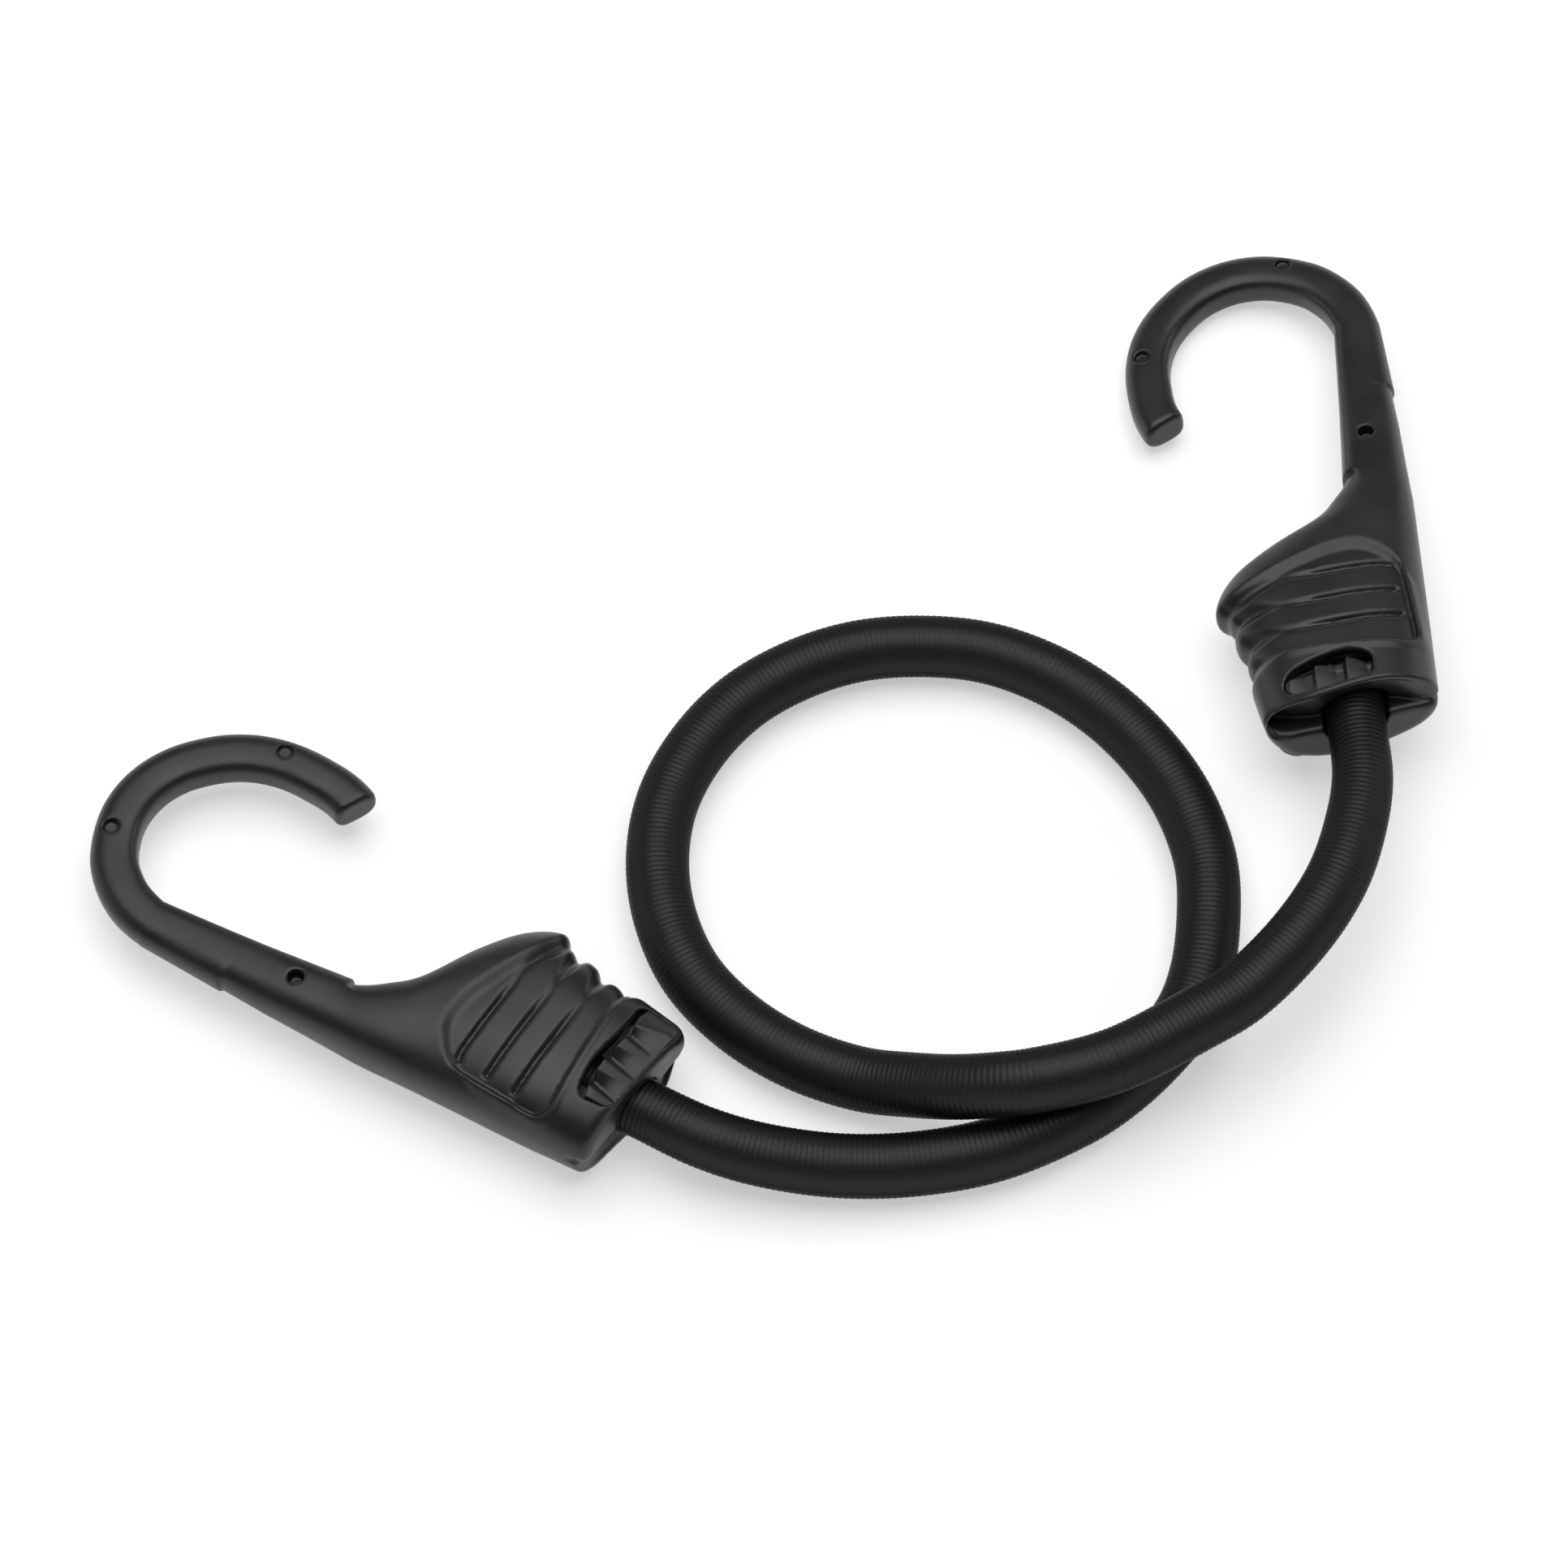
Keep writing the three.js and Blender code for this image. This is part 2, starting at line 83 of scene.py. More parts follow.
BEND_TURN = math.radians(75.4)
CROOK_RADIUS = 20.5
CROOK_TURN = math.radians(134.4)
CROOK_LIMIT = math.radians(288)
BOW_REACH = 30.0          # the bow is only sought this far back from the shaft's end
BOW_START = 4.0           # and this far across from the shaft's middle
BOW_SWELL = [             # how far the arm lies outside its two arcs, by the degrees that it has turned
    (0, -0.1), (15, -0.55), (40, -0.75), (60, -0.4), (75, 0.0), (90, 0.9), (105, 1.4), (120, 1.35),
    (132, 1.0), (150, 0.6), (170, 0.05), (185, -0.2), (200, 0.15), (215, 0.4),
]
ARM_WIDTH = 7.6
TIP_WIDTH = 7.4
TIP_EDGE = 1.2
ARM_DEPTH = 5.8
OUTER_ROUNDNESS = 2.5     # the arm is rounder on the spine side, flatter and squarer on the inner side
INNER_ROUNDNESS = 3.2

# How round the edges and inner corners are
NECK_EDGE = 0.4
SOFT_EDGE = 0.3
SMALL_EDGE = 0.2
FINE_EDGE = 0.15

# Base: the moulding's two halves end apart, and the upper one is cut back under its rim
UPPER_BASE = [
    (-14, 5.6), (-12.6, 4.3), (-10, 3.7), (-5, 3.1), (-1, 2.3), (3.4, 1.3), (7.2, 0.8), (11, 1.1), (15, 1.9),
]
LOWER_BASE = [(-14, 3.0), (-8, 2.4), (-4, 1.7), (0, 0.9), (5, 0.1), (8, -0.2), (11, -0.5), (15, 0.3)]
UPPER_RIM = 0.4           # how round the rim is
LOWER_RIM = 2.2
LEDGE_RIM = 1.4
RIM_BLEND = 0.6           # height over which one half's rim passes into the other's
RIM_HEIGHT = 8.0
BASE_UNDERCUT = 0.3       # how far the upper half is cut back for each millimetre below its rim
UNDERCUT_START = -12.0    # the cut fades in from here, across the hook
UNDERCUT_RUN = 8.0
BASE_WALL = 0.6           # thickness of the wall left round the cut
WALL_BLEND = 0.8
HALVES_OVERLAP = 6.0      # how far the upper half reaches into the lower one

# Thumb pad: sunk into both faces and the flared edge, with grooves square to the cord
PAD_SPINE_BORDER = [(10, -11.7), (14, -11.4), (27, -10.2)]
PAD_START = 10.6
PAD_CORNER = 3.0
PAD_TOP = [
    (-13, 23.0), (-10.8, 26.0), (-9.4, 28.8), (-7.3, 31.2), (-3.5, 33.2), (1.3, 32.8), (6.2, 30.9),
    (10, 29.2), (14.5, 27.0), (18, 25.6), (22, 24.6), (26, 24.0),
]
PAD_SCOOP = 2.7           # width of the scoop where the pad ends towards the arm
SCOOP_BLEND = 1.5
PAD_DEPTH = 0.95
PAD_EDGE = 0.8            # width of the step down into the pad
GROOVES = [16.2, 21.4, 27.0]
GROOVE_SLANT = 0.1        # the grooves run back towards the spine, as the base does
SLANT_END = 7.0           # and run straight from here to the flared edge
GROOVE_DEPTH = 0.7
GROOVE_WIDTH = 0.5
GROOVE_FADE = (2.0, 7.0)  # where the grooves begin to fade across the hook, and the run they fade over
GROOVE_KEPT = 0.15        # share of the depth that is left there
GROOVE_END = 1.4          # how far from the pad's spine border the grooves end
NOTCH_START = 9.0         # from here the grooves deepen and widen again, to notches in the flared edge
NOTCH_RUN = 7.5
NOTCH_DEPTH = 1.35
NOTCH_WIDTH = 1.2
BORDER_NOTCH = 0.8        # depth of the notch where the pad starts, as a share of the others
PAD_LIP = 0.28            # height of the bead along the pad's border
LIP_PLACE = 0.3
LIP_WIDTH = 0.65

# Windows over the plug's latch
WINDOW_SIDES = (-3.6, 10.5)
LOWER_WINDOW_SIDES = (-6.0, 13.0)  # the lower face's window reaches further both ways
WINDOW_RIM = 1.3          # width of the rim between a window and the base
LOWER_WINDOW_RIM = 0.8
WINDOW_TOP = [(-6, 8.0), (-3.6, 8.5), (0, 9.3), (4, 8.6), (8, 7.2), (10.4, 6.0), (14, 4.0)]
LOWER_WINDOW_TOP = [(-6, 8.2), (-3, 8.6), (0, 8.7), (3, 8.3), (6, 7.7), (9, 7.5), (13, 7.5), (16, 7.5)]
WINDOW_CORNER = 1.6
WINDOW_EDGE = 0.35
WINDOW_FLOOR = 4.0        # the windows are cut from this height above the hook's middle
WINDOW_FLUSH = 7.95       # height of the latch's ribs above the hook's middle

# Cord plug and its latch, which has saw teeth across the hook
PLUG_MIDDLE = 0.5
PLUG_HALF_WIDTH = 11.0
PLUG_HALF_DEPTH = 6.8
PLUG_ROUNDNESS = 2.6
PLUG_START = 6.4
PLUG_END = 9.6
PLUG_EDGE = 0.4
PLUG_CLEARANCE = 0.2
SOCKET_END = 9.9
SOCKET_EDGE = 0.5
HOLE_CLEARANCE = 0.1      # round the cord, in the shell
BORE_CLEARANCE = 0.15     # and in the plug
LATCH_PITCH = 4.95
LATCH_VALLEY = 1.0        # place of a valley between two teeth
LOWER_LATCH_VALLEY = 2.2
LOWER_LATCH_SLANT = 0.3
LATCH_DROP = 0.1          # share of the pitch that the back of a tooth takes
LOWER_LATCH_DROP = 0.45   # on the lower face the backs are slopes that widen away from the base
LEAST_DROP = 0.05
LATCH_FLAT = 0.25         # share of the pitch that is flat between the teeth
LOWER_LATCH_FLAT = 0.1
LOWER_LATCH_LAND = 0.8    # how far the lower teeth would stand above the flat lands on their crests
LATCH_HEIGHT = 1.6        # the teeth are wedges that rise to this away from the base
LATCH_RUN = (1.6, 7.0)
LATCH_GAP = 1.3           # the latch ends this far short of the window's end
LATCH_FLOOR = 4.6
LATCH_REACH = 0.35        # how far the latch runs on towards the base, under the window's rim
LATCH_CLEARANCE = 0.2
LATCH_MARGIN = 0.7        # how far the room round the latch goes past it
TOOTH_STEEPNESS = 0.5     # scales a height to about a distance on the steep teeth

LOCATOR_RADIUS = 1.3
LOCATOR_ON_SHAFT = (57.0, -6.7)
LOCATOR_TURNS = (80, 168)
LOCATOR_OUTWARD = 0.8     # on the bow the holes lie this far out from the arm's middle
LOCATOR_FLOOR = 1.9       # the holes end this far from the hook's middle

# Boxes that hold a hook and a plug, and the grids that their skins are found on
HOOK_BOX = ((-2.1, -14.6, -9.1), (101.8, 33.6, 9.1))
HOOK_GRID = 0.38
PLUG_BOX = ((-1.1, -12.1, -9.1), (10.6, 13.6, 9.1))
PLUG_GRID = 0.25
SLIVER = 0.002            # points closer than this are one, which leaves no sliver faces

# Cord sizes
CORD_RADIUS = 5.0
RIB_PITCH = 0.87
RIB_HEIGHT = 0.04
PINCH = 0.35              # the hooks' mouths hold the cord this much thinner in radius
PINCH_LENGTH = 14.0
CORD_SIDES = 40
RINGS_PER_RIB = 4
CORD_END = 18.4           # how far the cord runs into each hook
LINE_STEP = RIB_PITCH * MM / RINGS_PER_RIB

# Route of the cord from the left hook to the right, in metres, as in the CAD model
LEFT_TAIL_ROUTE = [
    (-0.0012, -0.0829, 0.0072), (0.0108, -0.0841, 0.0057), (0.0228, -0.0835, 0.0051),
    (0.0348, -0.081, 0.0051),
]
LOOP_ROUTE = [
    (0.0468, -0.0754, 0.0051), (0.0528, -0.0712, 0.0051), (0.0588, -0.0654, 0.0051),
    (0.0643, -0.0582, 0.0051), (0.0673, -0.0504, 0.0051), (0.0689, -0.0389, 0.0051),
    (0.0687, -0.0299, 0.0051), (0.0656, -0.019, 0.0051), (0.0602, -0.0095, 0.0051),
    (0.0532, -0.0015, 0.0051), (0.0447, 0.0047, 0.0051), (0.0351, 0.0087, 0.0051),
    (0.0248, 0.0099, 0.0051), (0.0144, 0.0089, 0.0051), (0.0046, 0.0052, 0.0051),
    (-0.0042, -0.0009, 0.0051), (-0.011, -0.0093, 0.0051), (-0.0155, -0.0191, 0.0051),
    (-0.017, -0.0299, 0.0051), (-0.0156, -0.0407, 0.0051), (-0.0114, -0.0508, 0.0051),
    (-0.0043, -0.059, 0.0051), (0.0045, -0.0651, 0.0051), (0.0144, -0.0692, 0.0056),
    (0.0228, -0.0718, 0.0084), (0.0288, -0.0736, 0.0112), (0.0348, -0.0746, 0.0137),
    (0.0408, -0.0746, 0.0152),
]
RIGHT_TAIL_ROUTE = [
    (0.0523, -0.0718, 0.016), (0.0653, -0.0646, 0.0161), (0.0725, -0.0599, 0.0163),
    (0.0816, -0.0504, 0.0172), (0.0877, -0.0407, 0.0176), (0.0912, -0.0305, 0.0173),
]

# Sizes of the finishes' patterns in millimetres
NYLON_GRAIN = 0.35
NYLON_CLOUD = 9.0
YARN_LENGTH = 1.7
YARN_WIDTH = 0.79

# Studio: soft lights by their place and width in metres and power in watts, the room and the floor
SOFTBOXES = {
    "overhead_softbox": {"place": (-0.02, 0.16, 0.95), "width": 1.05, "power": 7.4},
    "right_softbox": {"place": (0.9, 0.5, 0.5), "width": 0.5, "power": 1.0},
    "left_softbox": {"place": (-0.95, 0.1, 0.4), "width": 0.4, "power": 0.45},
}
COOL_WHITE = (0.945, 0.975, 1.0)
ROOM_AT_HORIZON = 0.9
ROOM_ABOVE = 0.1
ROOM_FADE = 0.45          # height of direction at which the room has faded
PAPER_LIFT = 0.48         # added where the camera sees the floor, so that it is white
FLOOR_HALF = 1.6
FLOOR_DROP = 0.0001       # keeps the floor just under the cord


def linear(hex_colour):
    """An sRGB hex colour as linear RGBA."""
    channels = [int(hex_colour[k:k + 2], 16) / 255 for k in (1, 3, 5)]
    return [c / 12.92 if c <= 0.04045 else ((c + 0.055) / 1.055) ** 2.4 for c in channels] + [1.0]


def add_node(tree, kind, inputs=None, **settings):
    """Adds a node, sets its properties, and sets or links its inputs."""
    node = tree.nodes.new(kind)
    for name, value in settings.items():
        setattr(node, name, value)
    for name, value in (inputs or {}).items():
        if isinstance(value, bpy.types.NodeSocket):
            tree.links.new(value, node.inputs[name])
        else:
            node.inputs[name].default_value = value
    return node


def new_material(name):
    """An empty node material and its tree."""
    material = bpy.data.materials.new(name)
    material.use_nodes = True
    material.node_tree.nodes.clear()
    return material, material.node_tree


def moulded_nylon(name, dark, light, roughness):
    """Glass-filled nylon, injection moulded: a satin black with a fine grain and a soft, broad highlight.

    The mould's real grain is too fine to show in a render, so it is drawn coarser.
    """
    material, tree = new_material(name)
    coordinates = add_node(tree, "ShaderNodeTexCoord")
    grain = add_node(tree, "ShaderNodeTexNoise", {
        "Vector": coordinates.outputs["Object"], "Scale": 1 / (NYLON_GRAIN * MM), "Detail": 2.0,
        "Roughness": 0.6})
    cloud = add_node(tree, "ShaderNodeTexNoise", {
        "Vector": coordinates.outputs["Object"], "Scale": 1 / (NYLON_CLOUD * MM), "Detail": 3.0,
        "Roughness": 0.55})
    bump = add_node(tree, "ShaderNodeBump", {
        "Height": grain.outputs["Fac"], "Strength": 0.25, "Distance": 0.03 * MM})
    gloss = add_node(tree, "ShaderNodeMapRange", {
        "Value": cloud.outputs["Fac"], "From Min": 0.3, "From Max": 0.7,
        "To Min": roughness - 0.05, "To Max": roughness + 0.06})
    tint = add_node(tree, "ShaderNodeMix", {
        "Factor": cloud.outputs["Fac"], "A": linear(dark), "B": linear(light)}, data_type="RGBA")
    shader = add_node(tree, "ShaderNodeBsdfPrincipled", {
        "Base Color": tint.outputs["Result"], "Roughness": gloss.outputs["Result"], "IOR": 1.53,
        "Normal": bump.outputs["Normal"]})
    add_node(tree, "ShaderNodeOutputMaterial", {"Surface": shader.outputs["BSDF"]})
    return material


def woven_polyester():
    """Polyester yarn in a tight tubular weave: near black, with a sheen that fades at its edges."""
    material, tree = new_material("woven polyester")
    coordinates = add_node(tree, "ShaderNodeTexCoord")
    yarns = add_node(tree, "ShaderNodeTexBrick", {
        "Vector": coordinates.outputs["UV"], "Scale": 1.0, "Color1": (1, 1, 1, 1),
        "Color2": (0.8, 0.8, 0.8, 1), "Mortar": (0, 0, 0, 1), "Mortar Size": 0.06, "Mortar Smooth": 0.8,
        "Brick Width": YARN_LENGTH, "Row Height": YARN_WIDTH}, offset=0.5)
    bump = add_node(tree, "ShaderNodeBump", {
        "Height": yarns.outputs["Color"], "Strength": 0.4, "Distance": 0.04 * MM})
    tint = add_node(tree, "ShaderNodeMix", {
        "Factor": yarns.outputs["Color"], "A": linear("#0a0b0c"), "B": linear("#141517")}, data_type="RGBA")
    facing = add_node(tree, "ShaderNodeLayerWeight", {"Blend": 0.5})
    gloss = add_node(tree, "ShaderNodeMapRange", {
        "Value": facing.outputs["Facing"], "From Min": 0.05, "From Max": 0.5, "To Min": 0.42, "To Max": 0.05})
    shader = add_node(tree, "ShaderNodeBsdfPrincipled", {
        "Base Color": tint.outputs["Result"], "Roughness": 0.45,
        "Specular IOR Level": gloss.outputs["Result"], "Normal": bump.outputs["Normal"]})
    add_node(tree, "ShaderNodeOutputMaterial", {"Surface": shader.outputs["BSDF"]})
    return material


def speckled(name, dark, light, grain, roughness, metallic=0.0):
    """A finish with a fine mottle of a given size in millimetres, for the pieces hidden inside."""
    material, tree = new_material(name)
    coordinates = add_node(tree, "ShaderNodeTexCoord")
    mottle = add_node(tree, "ShaderNodeTexNoise", {
        "Vector": coordinates.outputs["Object"], "Scale": 1 / (grain * MM), "Detail": 4.0, "Roughness": 0.6})
    tint = add_node(tree, "ShaderNodeMix", {
        "Factor": mottle.outputs["Fac"], "A": linear(dark), "B": linear(light)}, data_type="RGBA")
    gloss = add_node(tree, "ShaderNodeMapRange", {
        "Value": mottle.outputs["Fac"], "To Min": roughness + 0.1, "To Max": roughness - 0.1})
    bump = add_node(tree, "ShaderNodeBump", {
        "Height": mottle.outputs["Fac"], "Strength": 0.3, "Distance": 0.05 * MM})
    shader = add_node(tree, "ShaderNodeBsdfPrincipled", {
        "Base Color": tint.outputs["Result"], "Roughness": gloss.outputs["Result"], "Metallic": metallic,
        "Normal": bump.outputs["Normal"]})
    add_node(tree, "ShaderNodeOutputMaterial", {"Surface": shader.outputs["BSDF"]})
    return material


HOOK_NYLON = moulded_nylon("moulded nylon", "#151718", "#1b1d1e", 0.37)
PLUG_NYLON = moulded_nylon("moulded nylon of the plug", "#17191a", "#1d1f20", 0.4)
SHEATH = woven_polyester()
# Extruded latex threads: a matt, mottled tan. Drawn wire with zinc plating: a pale, slightly cloudy metal
LATEX = speckled("extruded natural latex", "#c2aa80", "#d3bf97", 0.8, 0.78)
STEEL = speckled("zinc-plated drawn steel", "#a9adb2", "#c6c9cc", 1.5, 0.36, 1.0)


# Shapes as distance fields, in millimetres

def curve_through(points, count=240):
    """A smooth line through points, as two lists for np.interp."""
    known = np.array(points, float)
    ends = np.vstack([2 * known[0] - known[1], known, 2 * known[-1] - known[-2]])
    places = np.linspace(0, len(known) - 1, count)
    k = np.minimum(places.astype(int), len(known) - 2)
    t = (places - k)[:, None]
    a, b, c, d = ends[k], ends[k + 1], ends[k + 2], ends[k + 3]
    line = b + 0.5 * t * (c - a + t * (2 * a - 5 * b + 4 * c - d + t * (3 * (b - c) + d - a)))
    return line[:, 0], line[:, 1]


def smooth_max(a, b, radius):
    """The larger of two distances, with the edge between them rounded."""
    mix = np.clip(0.5 + 0.5 * (a - b) / radius, 0, 1)
    return b + (a - b) * mix + radius * mix * (1 - mix)


def smooth_min(a, b, radius):
    """The smaller of two distances, with the corner between them filleted."""
    return -smooth_max(-a, -b, radius)


def smooth_step(value, width):
    """Rises from 0 to 1 as a value goes from 0 to a width."""
    t = np.clip(value / width, 0, 1)
    return t * t * (3 - 2 * t)


def rounded_section(across, through, half_width, half_depth, exponent):
    """Distance to a super-ellipse section, near its edge."""
    x = np.abs(across) / half_width
    y = np.abs(through) / half_depth
    reach = np.maximum((x ** exponent + y ** exponent) ** (1 / exponent), 1e-6)
    slope = np.hypot((x / reach) ** (exponent - 1) / half_width, (y / reach) ** (exponent - 1) / half_depth)
    return (reach - 1) / np.maximum(slope, 0.01)


FLARE_LINE = curve_through(FLARE_EDGE)
DEPTH_LINE = curve_through(GRIP_DEPTH)
PAD_TOP_LINE = curve_through(PAD_TOP)
WINDOW_TOP_LINE = curve_through(WINDOW_TOP)
LOWER_WINDOW_TOP_LINE = curve_through(LOWER_WINDOW_TOP)
SHAFT_DEPTH_LINE = curve_through(SHAFT_DEPTH)
BOW_LINE = curve_through(BOW_SWELL)
UPPER_BASE_LINE = curve_through(UPPER_BASE)
LOWER_BASE_LINE = curve_through(LOWER_BASE)


def pad_sink(along, across):
    """How far the thumb pad and its grooves are sunk below the grip's skin."""
    top = np.interp(across, *PAD_TOP_LINE)
    from_border = across - np.interp(along, *zip(*PAD_SPINE_BORDER))
    corner = smooth_min(from_border, along - PAD_START, PAD_CORNER)
    scoop = smooth_step(top - along, PAD_SCOOP)
    edge = smooth_step(across - NOTCH_START, NOTCH_RUN)
    faded = 1 - (1 - GROOVE_KEPT) * smooth_step(across - GROOVE_FADE[0], GROOVE_FADE[1])
    depth = GROOVE_DEPTH * faded + (NOTCH_DEPTH - GROOVE_KEPT * GROOVE_DEPTH) * edge
    width = GROOVE_WIDTH + (NOTCH_WIDTH - GROOVE_WIDTH) * edge
    spine_end = smooth_step(from_border - GROOVE_END, PAD_EDGE)
    lip = PAD_LIP * np.exp(-((corner + LIP_PLACE) / LIP_WIDTH) ** 2) * scoop * (1 - edge)
    sink = PAD_DEPTH * smooth_step(corner, PAD_EDGE) * scoop - lip
    for groove in GROOVES:
        straight = groove - GROOVE_SLANT * np.minimum(across, SLANT_END)
        line = smooth_min(straight, top - PAD_SCOOP, SCOOP_BLEND)
        shape = np.exp(-(np.abs(along - line) / width) ** 2.4)
        under_scoop = 1 - 0.5 * smooth_step(straight - line, SCOOP_BLEND)
        sink = sink + depth * shape * spine_end * under_scoop
    border = np.exp(-((along - PAD_START) / width) ** 2) * edge
    return sink + BORDER_NOTCH * NOTCH_DEPTH * border


def cut_back(across, through):
    """How far the upper half is cut back at a height, which fades out towards the spine."""
    below_rim = np.clip(RIM_HEIGHT - through, 0, RIM_HEIGHT)
    return BASE_UNDERCUT * below_rim * smooth_step(across - UNDERCUT_START, UNDERCUT_RUN)


def base_field(along, across, through, skin):
    """Distance outside the base's end, where the two halves of the moulding end apart."""
    inside_wall = smooth_step(-skin - BASE_WALL, WALL_BLEND)
    upper = np.interp(across, *UPPER_BASE_LINE) + cut_back(across, through) * inside_wall - along
    lower = np.interp(across, *LOWER_BASE_LINE) - along
    upper_half = np.maximum(upper, -through - HALVES_OVERLAP)
    lower_half = smooth_max(lower, through, LEDGE_RIM)
    return smooth_min(upper_half, lower_half, SOFT_EDGE)


def grip_skin(along, across, through):
    """Distance outside the grip's plain skin."""
    low = np.interp(along, *zip(*SPINE_EDGE))
    high = np.interp(along, *FLARE_LINE)
    depth = np.interp(along, *DEPTH_LINE)
    roundness = np.interp(along, *zip(*GRIP_ROUNDNESS))
    return rounded_section(across - (low + high) / 2, through, (high - low) / 2, depth / 2, roundness)


def grip_field(along, across, through):
    """The flared grip with its thumb pad, from the base to the neck."""
    skin = grip_skin(along, across, through) + pad_sink(along, across)
    lower = smooth_step(RIM_BLEND / 2 - through, RIM_BLEND)
    rim = (1 - lower) * UPPER_RIM + lower * LOWER_RIM
    body = smooth_max(skin, base_field(along, across, through, skin), rim)
    return smooth_max(body, along - GRIP_END, NECK_EDGE)


def arm_field(along, across, through):
    """The hook's arm: the straight shaft, a tight bend and the wide crook, which share one section."""
    bend_middle = np.array([SHAFT_TOP, SHAFT_MIDDLE + BEND_RADIUS])
    shift = (BEND_RADIUS - CROOK_RADIUS) * np.array([math.sin(BEND_TURN), -math.cos(BEND_TURN)])
    crook_middle = bend_middle + shift
    bend_angle = np.arctan2(along - bend_middle[0], bend_middle[1] - across)
    crook_angle = np.arctan2(along - crook_middle[0], crook_middle[1] - across)
    crook_angle = np.where(crook_angle < -math.pi / 2, crook_angle + 2 * math.pi, crook_angle)
    in_bend = (along > SHAFT_TOP) & (bend_angle < BEND_TURN) & (bend_angle >= 0)
    past_bend = (crook_angle >= BEND_TURN) & (crook_angle < CROOK_LIMIT)
    past_bend &= (along > SHAFT_TOP - BOW_REACH) & ~in_bend & (across > SHAFT_MIDDLE + BOW_START)
    in_shaft = ~past_bend & ~in_bend
    inner = np.interp(along, *zip(*SHAFT_INNER))
    spine = np.interp(along, *zip(*SHAFT_SPINE))
    from_bend = np.hypot(along - bend_middle[0], across - bend_middle[1]) - BEND_RADIUS
    from_crook = np.hypot(along - crook_middle[0], across - crook_middle[1]) - CROOK_RADIUS
    offset = (inner + spine) / 2 - across
    offset = np.where(in_bend, from_bend - np.interp(np.degrees(bend_angle), *BOW_LINE), offset)
    offset = np.where(past_bend, from_crook - np.interp(np.degrees(crook_angle), *BOW_LINE), offset)
    share = np.clip((crook_angle - BEND_TURN) / CROOK_TURN, 0, 1)
    width = np.where(in_bend, ARM_WIDTH, inner - spine)
    width = np.where(past_bend, ARM_WIDTH + (TIP_WIDTH - ARM_WIDTH) * share, width)
    depth = np.where(in_shaft, np.interp(along, *SHAFT_DEPTH_LINE), ARM_DEPTH)
    roundness = np.where(offset > 0, OUTER_ROUNDNESS, INNER_ROUNDNESS)
    skin = rounded_section(offset, through, width / 2, depth / 2, roundness)
    tip = (crook_angle - BEND_TURN - CROOK_TURN) * CROOK_RADIUS
    skin = np.where(past_bend, smooth_max(skin, tip, TIP_EDGE), skin)
    skin = np.where(in_shaft, np.maximum(skin, along - SHAFT_TOP), skin)
    start = SHAFT_ROOT + (SHAFT_START - SHAFT_ROOT) * smooth_step(across - STEP_PLACE, STEP_WIDTH)
    return smooth_max(skin, start - along, NECK_EDGE)


def arm_point(turn, outward):
    """A point off the arm's middle line, after it has turned by an angle."""
    bend = min(turn, BEND_TURN)
    crook = max(turn, BEND_TURN)
    along = SHAFT_TOP + BEND_RADIUS * math.sin(bend)
    along += CROOK_RADIUS * (math.sin(crook) - math.sin(BEND_TURN))
    across = SHAFT_MIDDLE + BEND_RADIUS * (1 - math.cos(bend))
    across += CROOK_RADIUS * (math.cos(BEND_TURN) - math.cos(crook))
    swell = np.interp(math.degrees(turn), *BOW_LINE) + outward
    return along + swell * math.sin(turn), across - swell * math.cos(turn)


LOCATOR_HOLES = [LOCATOR_ON_SHAFT]
for turn in LOCATOR_TURNS:
    LOCATOR_HOLES.append(arm_point(math.radians(turn), LOCATOR_OUTWARD))


def window_top(across, through):
    """Where a face's window ends, away from the base."""
    upper = np.interp(across, *WINDOW_TOP_LINE)
    lower = np.interp(across, *LOWER_WINDOW_TOP_LINE)
    return np.where(through > 0, upper, lower)


def window_outline(along, across, through, reach=0.0):
    """Distance outside the outline of a face's window, which can reach further towards the base."""
    spine_side = np.where(through > 0, WINDOW_SIDES[0], LOWER_WINDOW_SIDES[0])
    flare_side = np.where(through > 0, WINDOW_SIDES[1], LOWER_WINDOW_SIDES[1])
    sides = np.maximum(spine_side - across, across - flare_side)
    upper_start = np.interp(across, *UPPER_BASE_LINE) + cut_back(across, through) + WINDOW_RIM
    lower_start = np.interp(across, *LOWER_BASE_LINE) + LOWER_WINDOW_RIM
    start = np.where(through > 0, upper_start, lower_start)
    ends = np.maximum(start - reach - along, along - window_top(across, through))
    return smooth_max(sides, ends, WINDOW_CORNER)


def window_field(along, across, through):
    """The windows through both faces."""
    return smooth_max(window_outline(along, across, through), WINDOW_FLOOR - np.abs(through), SOFT_EDGE)


def plug_section(across, through, clearance):
    """Distance outside the plug's section, or outside the room that it has."""
    half_width = PLUG_HALF_WIDTH + clearance
    half_depth = PLUG_HALF_DEPTH + clearance
    return rounded_section(across - PLUG_MIDDLE, through, half_width, half_depth, PLUG_ROUNDNESS)


def socket_field(along, across, through):
    """The space in the base that the plug fills, and the hole that the cord comes out of."""
    room = smooth_max(plug_section(across, through, PLUG_CLEARANCE), along - SOCKET_END, SOCKET_EDGE)
    room = smooth_max(room, PLUG_START - PLUG_CLEARANCE - along, SOFT_EDGE)
    hole = np.hypot(across, through) - CORD_RADIUS - HOLE_CLEARANCE
    return smooth_min(room, smooth_max(hole, along - SOCKET_END, SOCKET_EDGE), SMALL_EDGE)


